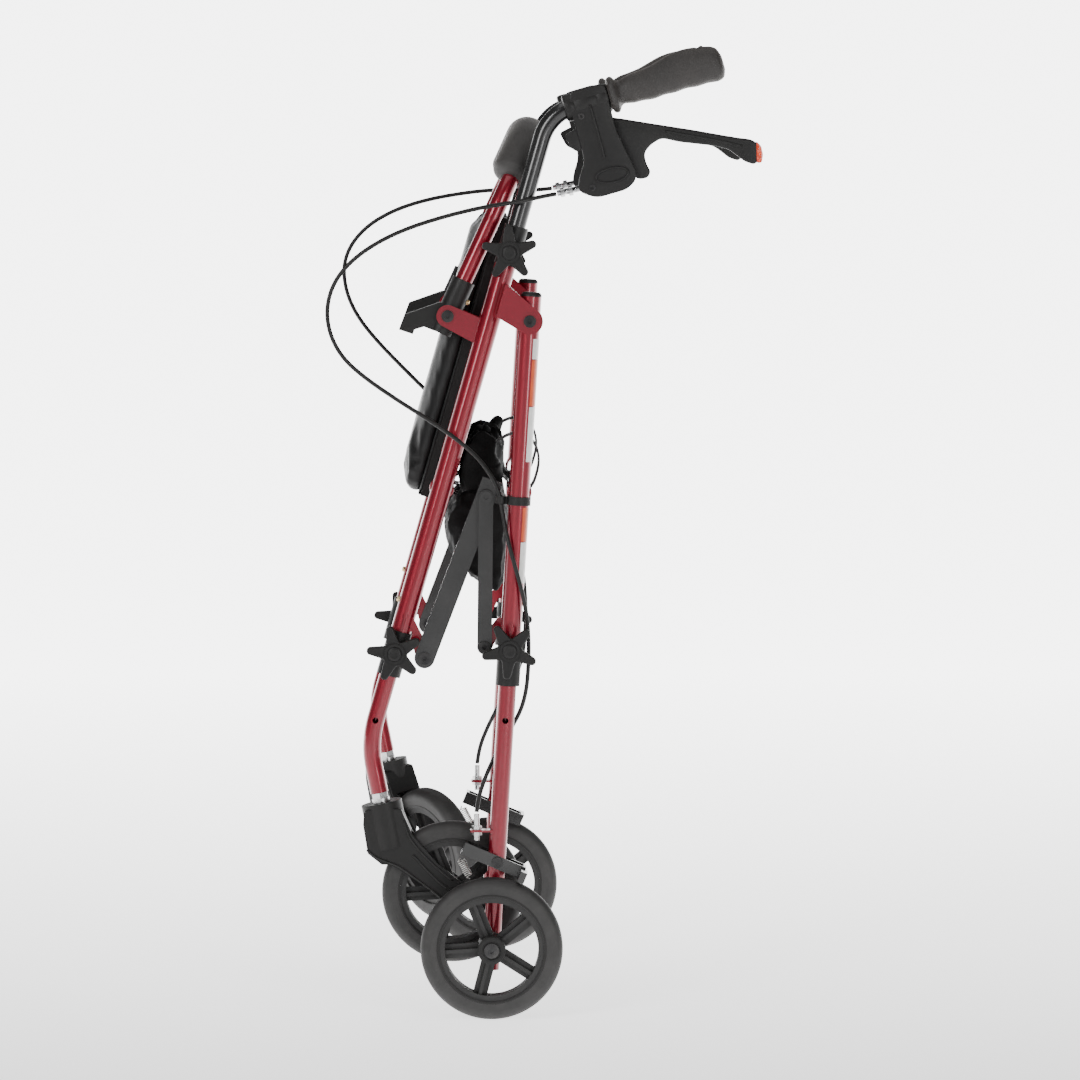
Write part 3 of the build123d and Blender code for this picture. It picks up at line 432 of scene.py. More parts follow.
for name in ("handle_collars", "front_leg_collars", "rear_leg_mouldings", "cable_clips", "backrest_sleeves",
             "seat_board"):
    paint(name, PLASTIC)
paint("rear_leg_cables", SOFT_PLASTIC)
paint("backrest_foam", FOAM)
paint("seat_pad", VINYL)
paint("bag", NYLON)
paint("backrest_buttons", BRASS)
paint("front_frame_bolts", DARK_BOLT)
paint("rear_frame_bolts", DARK_BOLT)

# --- Mesh helpers ------------------------------------------------------------------------------


def join_rings(bm, rings):
    """Faces between each ring of vertices and the next."""
    for a, b in zip(rings, rings[1:]):
        n = len(a)
        for k in range(n):
            bm.faces.new((a[k], a[(k + 1) % n], b[(k + 1) % n], b[k]))


def all_smooth(obj):
    """Smooth shading on every face."""
    obj.data.polygons.foreach_set("use_smooth", [True] * len(obj.data.polygons))


def mesh_object(name, bm, finish, smooth=True):
    mesh = bpy.data.meshes.new(name)
    bmesh.ops.recalc_face_normals(bm, faces=bm.faces)
    bm.to_mesh(mesh)
    bm.free()
    mesh.polygons.foreach_set("use_smooth", [smooth] * len(mesh.polygons))
    mesh.materials.append(finish)
    made = bpy.data.objects.new(name, mesh)
    bpy.context.scene.collection.objects.link(made)
    return made


def settle(obj):
    """Applies an object's modifiers to its mesh."""
    graph = bpy.context.evaluated_depsgraph_get()
    mesh = bpy.data.meshes.new_from_object(obj.evaluated_get(graph))
    obj.modifiers.clear()
    obj.data = mesh
    return obj


def soften(obj, width, segments=3, levels=0, angle=35):
    """Rounds an object's edges, and optionally subdivides it."""
    if width:
        bevel = obj.modifiers.new("edges", "BEVEL")
        bevel.width = width
        bevel.segments = segments
        bevel.limit_method = "ANGLE"
        bevel.angle_limit = radians(angle)
        bevel.harden_normals = False
    if levels:
        more = obj.modifiers.new("smooth", "SUBSURF")
        more.levels = more.render_levels = levels
    return settle(obj)


def sweep_tube(name, points, radii, finish, sides=16, flat=1.0, up=None):
    """A tube through points, its radius given once or per point; flat squeezes it along up."""
    if not hasattr(radii, "__len__"):
        radii = [radii] * len(points)
    bm = bmesh.new()
    rings = []
    tangent = (points[1] - points[0]).normalized()
    normal = (up or tangent.orthogonal()).normalized()
    normal = (normal - tangent * normal.dot(tangent)).normalized()
    for i, point in enumerate(points):
        before, after = points[max(i - 1, 0)], points[min(i + 1, len(points) - 1)]
        turned = (after - before).normalized()
        normal = (normal - turned * normal.dot(turned)).normalized()
        other = turned.cross(normal)
        ring = []
        for k in range(sides):
            a = 2 * pi * k / sides
            ring.append(bm.verts.new(point + (normal * cos(a) * flat + other * sin(a)) * radii[i]))
        rings.append(ring)
    join_rings(bm, rings)
    bm.faces.new(list(reversed(rings[0])))
    bm.faces.new(rings[-1])
    return mesh_object(name, bm, finish)


def extrude_outline(name, points, inner, outer, finish, bevel=0.0015, segments=3):
    """A flat piece between two distances out from the middle, with rounded edges. Points are side points."""
    bm = bmesh.new()
    near = [bm.verts.new(at(x, z, outer)) for x, z in points]
    far = [bm.verts.new(at(x, z, inner)) for x, z in points]
    n = len(points)
    bm.faces.new(near)
    bm.faces.new(list(reversed(far)))
    for k in range(n):
        bm.faces.new((near[k], far[k], far[(k + 1) % n], near[(k + 1) % n]))
    made = mesh_object(name, bm, finish, smooth=False)
    if bevel:
        soften(made, bevel, segments, angle=20)
        all_smooth(made)
        smooth_by_angle(made)
    return made


def smooth_by_angle(obj, angle=40):
    """Keeps edges sharper than the angle crisp."""
    obj.data.set_sharp_from_angle(angle=radians(angle))


def rounded(points, radius, steps=5):
    """A closed outline with its corners rounded."""
    out = []
    n = len(points)
    for i in range(n):
        before, here, after = (Vector(points[j % n]) for j in (i - 1, i, i + 1))
        a, b = before - here, after - here
        reach = min(radius, a.length * 0.45, b.length * 0.45)
        start, end = here + a.normalized() * reach, here + b.normalized() * reach
        for k in range(steps + 1):
            t = k / steps
            out.append(tuple(start * (1 - t) ** 2 + here * 2 * t * (1 - t) + end * t ** 2))
    return out


# --- Brake cables ------------------------------------------------------------------------------

# Control points in mm: (behind the rear axle, above the floor, out from the middle).
FREE = {
    "left": [
        (69, 879, 200), (52, 876, 207), (31, 871, 215), (0, 867, 218.5), (-41, 858, 219), (-90, 843, 219),
        (-127, 825, 220), (-154, 804, 221), (-170, 781, 221), (-176, 755, 222), (-172, 729, 222),
        (-159, 705, 222), (-137, 685, 221.5), (-104, 662, 221), (-69, 640, 221), (-38, 619, 222),
        (-15, 599, 224.5), (-1, 581, 228.5), (6.5, 566, 231.5),
    ],
    "right": [
        (69, 879, 200), (52, 877, 207), (31, 877, 215), (0, 877, 218.5), (-35, 873, 219),
        (-73, 866, 219.5), (-108, 855, 220), (-137, 839, 221), (-156, 820, 221), (-166, 800, 221.5),
        (-168, 779, 222), (-163, 755, 222), (-151, 731, 222), (-131, 706, 221.5), (-106, 680, 221),
        (-77, 651, 221), (-50, 626, 222), (-26, 604, 224), (-6, 584, 228), (6.2, 566.5, 231.4),
    ],
}
DOWN_LEG = [
    (9.6, 554, 233.2), (11.8, 541, 236), (15.5, 520, 243), (21, 498, 249.5), (28, 474, 249.5),
    (34.5, 449, 244), (38.5, 425, 237), (40, 400, 233), (39.5, 374, 231.5), (37.5, 350, 229),
    (32, 328, 223.5), (22, 309, 218.5), (11, 291, 217.5), (1, 272, 220.5), (-8, 252, 226.5),
    (-14, 234, 231), (-16, 218.5, 232),
]
CABLE_R = 0.0023


def spline_points(route):
    """Points read from the route's NURBS spline."""
    curve = bpy.data.curves.new("route", "CURVE")
    curve.dimensions = "3D"
    spline = curve.splines.new("NURBS")
    spline.points.add(len(route) - 1)
    for point, place in zip(spline.points, route):
        point.co = (*place, 1.0)
    spline.order_u = 3
    spline.use_endpoint_u = True
    spline.resolution_u = 8
    holder = bpy.data.objects.new("route", curve)
    bpy.context.scene.collection.objects.link(holder)
    graph = bpy.context.evaluated_depsgraph_get()
    line = bpy.data.meshes.new_from_object(holder.evaluated_get(graph))
    points = [v.co.copy() for v in line.vertices]
    bpy.data.objects.remove(holder)
    bpy.data.meshes.remove(line)
    return points


def run_length(points):
    return sum((b - a).length for a, b in zip(points, points[1:]))


def cable_piece(name, points, replaced):
    tube = sweep_tube(name, points, CABLE_R, SOFT_PLASTIC, sides=14)
    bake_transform(tube)
    if replaced:
        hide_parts(replaced)
    return tube


for side, sign in SIDES:
    route = [at(x, z, out * sign) for x, z, out in FREE[side] + DOWN_LEG]
    points = spline_points(route)
    loop_front = min(range(len(points)), key=lambda i: points[i].x)
    inner_turn = next(i for i in range(len(points)) if i > loop_front and points[i].z < 0.309)
    cable_piece(f"{side}_brake_cable_upper", points[:loop_front + 1],
                f"{side}_brake_cable")
    cable_piece(f"{side}_brake_cable_loop", points[loop_front:inner_turn + 1],
                None)
    cable_piece(f"{side}_brake_cable_lower", points[inner_turn:],
                "rear_leg_cables" if sign > 0 else None)

# --- Grips -------------------------------------------------------------------------------------

FRONT_LEAN, GRIP_TILT, FRONT_OUT = 16.0, 16.3, 200.0


def box_centre(name):
    """Side point in mm of the middle of a CAD node's box."""
    lo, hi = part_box(name)
    middle = (lo + hi) / 2
    return ((middle.x - AXLE_X) * 1000, middle.z * 1000)


HINGE = box_centre("front_cross_tube")
CORNER = on_line(HINGE, FRONT_LEAN, 622.9 - 206.0)


def on_grip(along, up, out):
    """Row-frame point along the grip's axis and above it, in mm."""
    x, z = on_line(CORNER, 90.0 - GRIP_TILT, along, -up)
    return at(x, z, out)


def between(stations, s, column):
    """Smoothly interpolated value of one column of a table of stations."""
    for i in range(len(stations) - 1):
        if stations[i][0] <= s <= stations[i + 1][0]:
            p0, p1 = stations[max(i - 1, 0)], stations[i]
            p2, p3 = stations[i + 1], stations[min(i + 2, len(stations) - 1)]
            t = (s - p1[0]) / (p2[0] - p1[0])
            m1 = (p2[column] - p0[column]) / (p2[0] - p0[0]) * (p2[0] - p1[0])
            m2 = (p3[column] - p1[column]) / (p3[0] - p1[0]) * (p2[0] - p1[0])
            return ((2 * t ** 3 - 3 * t * t + 1) * p1[column] + (t ** 3 - 2 * t * t + t) * m1
                    + (3 * t * t - 2 * t ** 3) * p2[column] + (t ** 3 - t * t) * m2)
    return stations[-1][column]


# Along the grip: distance, then the reach above, below, inwards and outwards of the tube's axis.
GRIP_SHAPE = [
    (66.5, 14, 14, 14, 14), (68, 18, 18, 18, 18), (71, 19.8, 19.8, 19.8, 19.8), (74, 19.2, 19.2, 19.2, 19.2),
    (77, 15.0, 14.6, 15.0, 15.0), (80, 13.2, 12.8, 13.4, 13.4), (84, 14.0, 13.2, 14.2, 14.2),
    (92, 16.2, 15.0, 15.6, 15.6), (104, 17.2, 16.2, 16.0, 15.8), (116, 18.6, 16.6, 17.0, 15.8),
    (128, 21.5, 16.4, 19.0, 15.6), (140, 24.4, 16.4, 21.0, 15.6), (153, 25.6, 16.6, 22.2, 15.8),
    (166, 24.6, 17.2, 21.6, 16.2), (178, 22.2, 17.8, 19.8, 16.4), (186, 19.8, 17.4, 18.0, 16.0),
    (191, 15.5, 14.5, 14.5, 13.5), (193.6, 8.0, 8.0, 8.0, 8.0),
]


def make_grip(side, sign):
    bm = bmesh.new()
    rings = []
    count, around = 150, 56
    first, last = GRIP_SHAPE[0][0], GRIP_SHAPE[-1][0]
    for i in range(count + 1):
        s = first + (last - first) * i / count
        up, down, inward, outward = (between(GRIP_SHAPE, s, c) for c in (1, 2, 3, 4))
        ring = []
        for k in range(around):
            a = 2 * pi * k / around
            high, wide = sin(a), cos(a)
            reach_up = up if high > 0 else down
            reach_out = outward if wide > 0 else inward
            square = 0.86
            y = reach_out * math.copysign(abs(wide) ** square, wide)
            z = reach_up * math.copysign(abs(high) ** square, high)
            # Finger hollows underneath, and a crescent ridge across the palm near the end.
            if high < -0.2 and 88 < s < 184:
                z += 0.9 * (0.5 - 0.5 * cos(2 * pi * (s - 88) / 24)) * min(1.0, (-high - 0.2) * 2)
            if high > 0.1:
                ridge = s - (176 - 10 * (wide + 0.2) ** 2)
                z += 1.3 * math.exp(-(ridge / 1.6) ** 2) * min(1.0, high * 2)
                z -= 0.8 * math.exp(-((ridge + 4.5) / 2.2) ** 2) * min(1.0, high * 2)
            ring.append(bm.verts.new(on_grip(s, z, (FRONT_OUT + y) * sign)))
        rings.append(ring)
    join_rings(bm, rings)
    bm.faces.new(list(reversed(rings[0])))
    bm.faces.new(rings[-1])
    grip = mesh_object(f"{side}_hand_grip", bm, GRIP)
    smooth_by_angle(grip, 60)
    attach(grip, f"{side}_handle")
    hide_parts(f"{side}_grip")


# --- Brake housings and levers -----------------------------------------------------------------

HOUSING = [
    (83, 987), (121, 998), (127, 972), (133, 948), (155, 903), (154, 893), (145, 884), (112, 874.5),
    (93, 882), (94, 895), (100, 915), (92, 944), (84, 971),
]
LEVER = [
    (121.5, 955.5), (133, 960.5), (170, 954.5), (215, 947.5), (260, 939.6), (277, 937.5), (284, 933.6),
    (287.6, 926), (287, 918), (284.4, 913), (280.5, 910.6), (271, 913.4), (262, 920.5), (254, 926.4),
    (238, 930.4), (201, 934.4), (182, 938.6), (171, 932), (163.5, 923), (165.5, 912), (170.6, 903),
    (167.6, 896.5), (158.4, 894.4), (142, 903), (129.4, 910.4), (124, 930),
]


def smooth_run(points, steps, closed=False):
    """Points smoothed through a few given ones."""
    line = []
    n = len(points)
    for i in range(n if closed else n - 1):
        if closed:
            p = [points[(i + k) % n] for k in (-1, 0, 1, 2)]
        else:
            p = [points[min(max(i + k, 0), n - 1)] for k in (-1, 0, 1, 2)]
        for k in range(steps):
            t = k / steps
            first, second = p[2] - p[0], 2 * p[0] - 5 * p[1] + 4 * p[2] - p[3]
            third = 3 * p[1] - p[0] - 3 * p[2] + p[3]
            line.append(0.5 * (2 * p[1] + first * t + second * t * t + third * t ** 3))
    line.append(points[0] if closed else points[-1])
    return line


def ribbon(name, points, radius, finish, flat=1.0, up=None, steps=6, closed=False):
    """A small rounded bead or cord smoothed through a few points."""
    return sweep_tube(name, smooth_run(points, steps, closed), radius, finish, sides=10, flat=flat, up=up)


def ring_of(name, centre, axis_out, radius, bore, depth, finish, body, sides=40, bevel=0.0006):
    """A washer or boss about an axis across the walker; the centre is a side point in mm."""
    bm = bmesh.new()
    profile = [(bore, 0), (radius, 0), (radius, depth), (bore, depth)]
    rows = []
    for k in range(sides):
        a = 2 * pi * k / sides
        row = []
        for r, d in profile:
            spot = at(centre[0] + r * cos(a), centre[1] + r * sin(a), axis_out[0] + axis_out[1] * d)
            row.append(bm.verts.new(spot))
        rows.append(row)
    for k in range(sides):
        a, b = rows[k], rows[(k + 1) % sides]
        for j in range(4):
            bm.faces.new((a[j], a[(j + 1) % 4], b[(j + 1) % 4], b[j]))
    made = mesh_object(name, bm, finish, smooth=False)
    soften(made, bevel, 3, angle=30)
    all_smooth(made)
    smooth_by_angle(made)
    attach(made, body)
    return made


def make_housing(side, sign):
    body = f"{side}_handle"
    shell = rounded(HOUSING, 9)
    outer = extrude_outline(f"{side}_housing_outer", shell, 206.3 * sign, 213.6 * sign, PLASTIC, 0.0028, 4)
    inner = extrude_outline(f"{side}_housing_inner", shell, 186.4 * sign, 193.7 * sign, PLASTIC, 0.0028, 4)
    core = [(86, 976), (94, 944), (102, 915), (97, 896), (98, 886), (112, 878), (140, 886), (112, 889),
            (105, 915), (103, 961), (122, 967), (119, 994), (87, 984)]
    middle = extrude_outline(f"{side}_housing_core", core, 193.2 * sign, 206.8 * sign, PLASTIC, 0.0)
    for piece in (outer, inner, middle):
        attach(piece, body)
    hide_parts(f"{side}_brake_housing")
    # Clamp band round the tube, with two shallow grooves.
    band = [(17, 12.2), (18, 13.9), (21, 14.6), (27, 14.6), (28.2, 13.9), (29.4, 14.6), (52, 14.6),
            (53.2, 13.9), (54.4, 14.6), (62, 14.6), (65, 14.0), (66.2, 12.2)]
    bm = bmesh.new()
    rings = []
    for s, r in [(17, 9.8)] + band + [(66.2, 9.8)]:
        ring = []
        for k in range(48):
            a = 2 * pi * k / 48
            ring.append(bm.verts.new(on_grip(s, r * sin(a), (FRONT_OUT + r * cos(a)) * sign)))
        rings.append(ring)
    join_rings(bm, rings)
    clamp = mesh_object(f"{side}_clamp_band", bm, PLASTIC)
    smooth_by_angle(clamp, 35)
    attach(clamp, body)
    # Raised line down the cover, a raised oval rim, and the cover's two screws.
    face = 213.7 * sign
    crest = [at(105.3, 974, face), at(114.5, 942, face), at(121, 918, face)]
    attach(ribbon(f"{side}_housing_crest", crest, 0.0016, PLASTIC, up=Vector((0, 1, 0)), flat=0.7), body)
    oval = []
    for k in range(20):
        a = 2 * pi * k / 20
        u, v = 17.5 * cos(a), 7.6 * sin(a)
        t = radians(12)
        oval.append(at(129 + u * cos(t) - v * sin(t), 899.5 + u * sin(t) + v * cos(t), face))
    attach(ribbon(f"{side}_housing_oval", oval, 0.0013, PLASTIC, closed=True, up=Vector((0, 1, 0))), body)
    for k, spot in enumerate(((96, 962), (108, 886))):
        ring_of(f"{side}_housing_screw_{k}", spot, (213.2 * sign, sign), 3.4, 1.5, 1.1, DARK_BOLT, body,
                28, 0.0003)
    lock = rounded([(78, 942), (94, 950), (97, 934), (95, 923), (86, 927)], 4)
    tab = extrude_outline(f"{side}_lock_tab", lock, 188.5 * sign, 211.5 * sign, PLASTIC, 0.002, 3)
    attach(tab, body)
    # Cable adjuster: threaded chrome barrel with two knurled nuts.
    out = FRONT_OUT * sign
    turned = []
    for i in range(60):
        turned.append((i * 0.45, 3.1 + 0.28 * (i % 2)))
    lathe_along(f"{side}_upper_adjuster", (70.6, 879.5), 90 - 12.8, out, turned, CHROME, body, 28)
    for k, (start, r) in enumerate(((3.5, 4.7), (12.5, 5.2))):
        nut = [(0.0, 0.0), (0.0, r - 0.5), (0.5, r), (4.2, r), (4.7, r - 0.5), (4.7, 0)]
        nut = [(start + along, radius) for along, radius in nut]
        lathe_along(f"{side}_upper_nut_{k}", (70.6, 879.5), 90 - 12.8, out, nut, CHROME, body, 12, knurl=0.25)


def lathe_along(name, origin, lean, out, profile, finish, body, sides=32, knurl=0.0):
    """A turned piece on a leaning axis in the side plane; profile is (along, radius) in mm."""
    bm = bmesh.new()
    rings = []
    for s, r in profile:
        ring = []
        for k in range(sides):
            a = 2 * pi * k / sides
            reach = r + (knurl if k % 2 else -knurl) * (r > 0.01)
            x, z = on_line(origin, lean, s, reach * sin(a))
            ring.append(bm.verts.new(at(x, z, out + reach * cos(a))))
        rings.append(ring)
    join_rings(bm, rings)
    bmesh.ops.remove_doubles(bm, verts=bm.verts, dist=1e-6)
    made = mesh_object(name, bm, finish)
    smooth_by_angle(made)
    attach(made, body)
    return made


def make_lever(side, sign):
    body = f"{side}_lever"
    blade = extrude_outline(f"{side}_lever_blade", rounded(LEVER, 5), 194.6 * sign, 205.4 * sign, PLASTIC,
                            0.0024, 4)
    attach(blade, body)
    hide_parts(f"{side}_brake_lever")
    for face, name in ((205.5, "outer"), (194.5, "inner")):
        rib = [at(x, z, face * sign) for x, z in ((186, 946), (215, 941), (245, 935.5), (268, 930))]
        bead = ribbon(f"{side}_lever_rib_{name}", rib, 0.0014, PLASTIC, up=Vector((0, 1, 0)), flat=0.5)
        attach(bead, body)
    patch = rounded([(283.0, 935.5), (288.4, 930), (290.4, 921), (289.0, 912.5), (283.8, 912)], 2)
    shine = extrude_outline(f"{side}_lever_reflector", patch, 193.8 * sign, 206.2 * sign, REFLECTOR,
                            0.0008, 3)
    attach(shine, body)
    for face, direction in ((205.3, 1), (194.7, -1)):
        ring_of(f"{side}_lever_washer_{direction + 1}", box_pivot(f"{side}_lever_pivot"),
                (face * sign, sign * direction), 5.0, 1.2, 0.7, DARK_BOLT, body, 28, 0.0002)


def box_pivot(joint):
    """Side point in mm of a joint's pivot."""
    place = next(j for j in frame["joints"] if j["name"] == joint)["pos_m"]
    return ((place[0] - AXLE_X) * 1000, place[2] * 1000)


for side, sign in SIDES:
    make_grip(side, sign)
    make_housing(side, sign)
    make_lever(side, sign)

# --- Soft goods --------------------------------------------------------------------------------

BACK_PIVOT = box_pivot("backrest_pivot")
REAR_AXLE = box_pivot("left_rear_wheel_spin")
BACK_LEAN, REAR_LEAN, REAR_OUT = 24.7, 3.51, 232.0
REAR_BAR = box_centre("rear_cross_tube")
BAR_R = 11.1


def remesh(obj, size):
    """Rebuilds a closed piece with an even mesh."""
    even = obj.modifiers.new("even", "REMESH")
    even.mode = "VOXEL"
    even.voxel_size = size
    return settle(obj)


def inflate(obj, pressure, frames, cap, held=None, shrink=0.0, bending=0.5):
    """Cloth under a little inner pressure; no point moves further than cap, in metres."""
    start = [v.co.copy() for v in obj.data.vertices]
    cloth = obj.modifiers.new("cloth", "CLOTH")
    settings = cloth.settings
    settings.quality = 5
    settings.use_pressure = True
    settings.uniform_pressure_force = pressure
    settings.effector_weights.gravity = 0.0
    settings.shrink_min = shrink
    settings.bending_stiffness = bending
    if held:
        group = obj.vertex_groups.new(name="held")
        group.add([i for i, co in enumerate(start) if held(co)], 1.0, "REPLACE")
        settings.vertex_group_mass = "held"
    cloth.point_cache.frame_start = 1
    cloth.point_cache.frame_end = frames
    for frame_number in range(1, frames + 1):
        bpy.context.scene.frame_set(frame_number)
    settle(obj)
    bpy.context.scene.frame_set(1)
    for vertex, before in zip(obj.data.vertices, start):
        moved = vertex.co - before
        if moved.length > cap:
            vertex.co = before + moved * (cap / moved.length)


def crease(obj, depth, scale, seed):
    """Pushes a fine mesh in and out along its normals by folded noise."""
    normals = [v.normal.copy() for v in obj.data.vertices]
    for vertex, normal in zip(obj.data.vertices, normals):
        place = vertex.co * scale + Vector((seed, seed * 0.7, 0))
        ridge = 1.0 - abs(noise.noise(place)) * 2.6
        vertex.co += normal * depth * (ridge - 0.6)


def in_seat(out, up, back):
    """Row-frame point of the seat: out from the middle, up the folded seat and back from the hinge."""
    return at(*on_line(HINGE, FRONT_LEAN, up, back), out)


def prism(name, outline, near, far, finish):
    """A closed piece between two outlines of row-frame points given by near and far."""
    bm = bmesh.new()
    a = [bm.verts.new(near(*p)) for p in outline]
    b = [bm.verts.new(far(*p)) for p in outline]
    bm.faces.new(a)
    bm.faces.new(list(reversed(b)))
    n = len(outline)
    for k in range(n):
        bm.faces.new((a[k], b[k], b[(k + 1) % n], a[(k + 1) % n]))
    return mesh_object(name, bm, finish)


SEAT_HALF, SEAT_BELOW, SEAT_ABOVE, SEAT_CORNER = 168, 20, 300, 34


def seat_corners(inset):
    """The seat's corners, (out, up) in mm, drawn in by a distance."""
    half, low_end, high_end = SEAT_HALF - inset, -SEAT_BELOW + inset, SEAT_ABOVE - inset
    return [(-half, low_end), (half, low_end), (half, high_end), (-half, high_end)]


def make_seat():
    outline = rounded(seat_corners(4.0), SEAT_CORNER, 8)
    pad = prism("seat_cushion", outline, lambda out, up: in_seat(out, up, -41.0),
                lambda out, up: in_seat(out, up, -19.6), VINYL)
    soften(pad, 0.0095, 4, angle=60)
    remesh(pad, 0.006)
    normal = (in_seat(0, 0, -1) - in_seat(0, 0, 0)).normalized()
    back = in_seat(0, 0, -24.0)
    inflate(pad, 3.0, 16, 0.006, held=lambda co: (co - back).dot(normal) < 0, bending=2.0)
    crease(pad, 0.0005, 26, 3)
    soften(pad, 0, levels=1)
    all_smooth(pad)
    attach(pad, "seat")
    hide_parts("seat_pad")
    # Piping where the cover meets the board.
    line = [in_seat(out, up, -20.8) for out, up in rounded(seat_corners(5.2), SEAT_CORNER, 5)]
    bead = ribbon("seat_piping", line, 0.0019, VINYL, closed=True, steps=3)
    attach(bead, "seat")


def make_foam():
    inner = radians(30)
    line = []
    for k in range(25):
        a = inner + (pi / 2 - inner) * k / 24
        line.append((92 + 95 * cos(a), 113 + 95 * sin(a)))
    for k in range(1, 24):
        line.append((92 - 184 * k / 24, 208.0))
    for k in range(25):
        a = pi / 2 + (pi / 2 - inner) * k / 24
        line.append((-92 + 95 * cos(a), 113 + 95 * sin(a)))
    points = [at(*on_line(BACK_PIVOT, BACK_LEAN, up), out) for out, up in line]
    total = run_length(points)
    fine, radii = [], []
    travelled = 0.0
    for a, b in zip(points, points[1:]):
        for j in range(4):
            fine.append(a.lerp(b, j / 4))
            radii.append(travelled + (b - a).length * j / 4)
        travelled += (b - a).length
    fine.append(points[-1])
    radii.append(travelled)
    thick = []
    for s, p in zip(radii, fine):
        end = min(s, total - s)
        dome = 1.0 if end > 0.011 else math.sqrt(max(1 - (1 - end / 0.011) ** 2, 0.0))
        soft = 0.0005 * noise.noise(p * 22)
        thick.append(0.0098 + (0.0230 - 0.0098 + soft) * dome)
    foam = sweep_tube("backrest_sleeve_foam", fine, thick, FOAM, sides=48)
    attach(foam, "backrest")
    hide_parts("backrest_foam")


def pouch_piece(name, outline, half_width, seed):
    """A crumpled piece of the bag, from a side outline."""
    piece = prism(name, rounded(outline, 8, 3), lambda x, z: at(x, z, half_width),
                  lambda x, z: at(x, z, -half_width), NYLON)
    remesh(piece, 0.0075)
    inflate(piece, 0.6, 20, 0.007, shrink=-0.03, bending=0.2)
    soften(piece, 0, levels=1)
    for depth, scale in ((0.0038, 21), (0.0017, 62)):
        piece.data.update()
        crease(piece, depth, scale, seed)
    all_smooth(piece)
    return piece


def make_bag():
    pouch = pouch_piece("folded_bag", [
        (-46, 490), (-50, 529), (-34, 545), (-28, 556), (-10, 560), (6, 556),
        (11, 545), (16, 520), (12, 457), (4, 442), (-7, 455),
    ], 143.0, 11)
    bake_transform(pouch)
    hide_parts("bag")
    # The gathered mouth of the bag lies flat under the seat when the walker stands open.
    mouth = pouch_piece("gathered_mouth", [
        (-33, 545), (-31, 594), (-13, 617), (6, 618), (10, 598), (10, 545),
    ], 142.0, 5)
    for vertex in mouth.data.vertices:
        gathered = min(max((vertex.co.z - 0.565) / 0.04, 0.0), 1.0)
        vertex.co.z += 0.016 * gathered * noise.noise(vertex.co * 55)
        vertex.co.x += 0.009 * gathered * noise.noise(vertex.co * 48 + Vector((9, 0, 0)))
    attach(mouth, "front_frame")
    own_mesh(mouth)


def strap(name, path, out, width, body, thick=1.3):
    """A band of webbing that runs in a side plane, its width across the walker."""
    points = [Vector((x, 0, z)) for x, z in path]
    bm = bmesh.new()
    rows = []
    for i, p in enumerate(points):
        t = (points[min(i + 1, len(points) - 1)] - points[max(i - 1, 0)]).normalized()
        n = Vector((t.z, 0, -t.x)) * thick / 2
        row = []
        for side_of in (1, -1):
            for edge in (0.5, -0.5):
                q = p + n * side_of
                row.append(bm.verts.new(at(q.x, q.z, out + edge * side_of * width)))
        rows.append(row)
    join_rings(bm, rows)
    bm.faces.new(rows[0])
    bm.faces.new(list(reversed(rows[-1])))
    made = mesh_object(name, bm, WEBBING, smooth=False)
    soften(made, 0.0004, 2, angle=50)
    all_smooth(made)
    smooth_by_angle(made)
    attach(made, body)
    return made


def around(centre, radius, start, end, before=(), after=()):
    """Side points of an arc about a centre, between angles in degrees, with points before and after it."""
    arc = []
    steps = 18
    for k in range(steps + 1):
        a = radians(start + (end - start) * k / steps)
        arc.append((centre[0] + radius * cos(a), centre[1] + radius * sin(a)))
    return [*before, *arc, *after]


HANGING_LOOP = [Vector(p) for p in (
    (6, 612), (18, 619), (30, 621), (40, 617), (47, 609), (50.5, 599), (51, 588), (48.5, 576),
    (44.5, 566), (36, 556), (28, 549.4),
)]

make_seat()
make_foam()
make_bag()
for side, sign in SIDES:
    for k, out in enumerate((62, 96)):
        path = around(HINGE, BAR_R + 1.2, 20, 300, before=((-35, 574),), after=((-36, 551),))
        strap(f"{side}_front_strap_{k}", path, out * sign, 25, "front_frame")
        path = around(REAR_BAR, BAR_R + 1.2, 165, 378, before=((11, 572),))
        strap(f"{side}_rear_strap_{k}", path, out * sign, 25, "rear_frame")
    hanging = strap(f"{side}_hanging_loop", smooth_run(HANGING_LOOP, 5), 155 * sign, 22, "rear_frame",
                    thick=2.6)
    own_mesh(hanging)

# --- Small parts -------------------------------------------------------------------------------

WHITE_STRIP = strip("white_strip", (0.62, 0.62, 0.60), (0.74, 0.74, 0.72))
ORANGE_STRIP = strip("orange_strip", (0.50, 0.055, 0.008), (0.66, 0.085, 0.012))


def label_strip(name, low_z, high_z, finish):
    """A blank strip stuck round the rear face of the left rear leg."""
    bm = bmesh.new()
    rows = []
    across, spread = 18, 64.0
    for z in (low_z, (low_z + high_z) / 2, high_z):
        up = (z - REAR_AXLE[1]) / cos(radians(REAR_LEAN))
        row = []
        for radius in (BAR_R + 0.05, BAR_R + 0.35):
            for k in range(across + 1):
                a = radians(-spread + 2 * spread * k / across)
                x, height = on_line(REAR_AXLE, REAR_LEAN, up, radius * cos(a))
                row.append(bm.verts.new(at(x, height, REAR_OUT + radius * sin(a))))
        rows.append(row[:across + 1] + list(reversed(row[across + 1:])))
    n = len(rows[0])
    join_rings(bm, rows)
    for row in (rows[0], rows[-1]):
        for k in range(across):
            bm.faces.new((row[k], row[k + 1], row[n - 2 - k], row[n - 1 - k]))
    made = mesh_object(name, bm, finish)
    smooth_by_angle(made, 30)
    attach(made, "rear_frame")


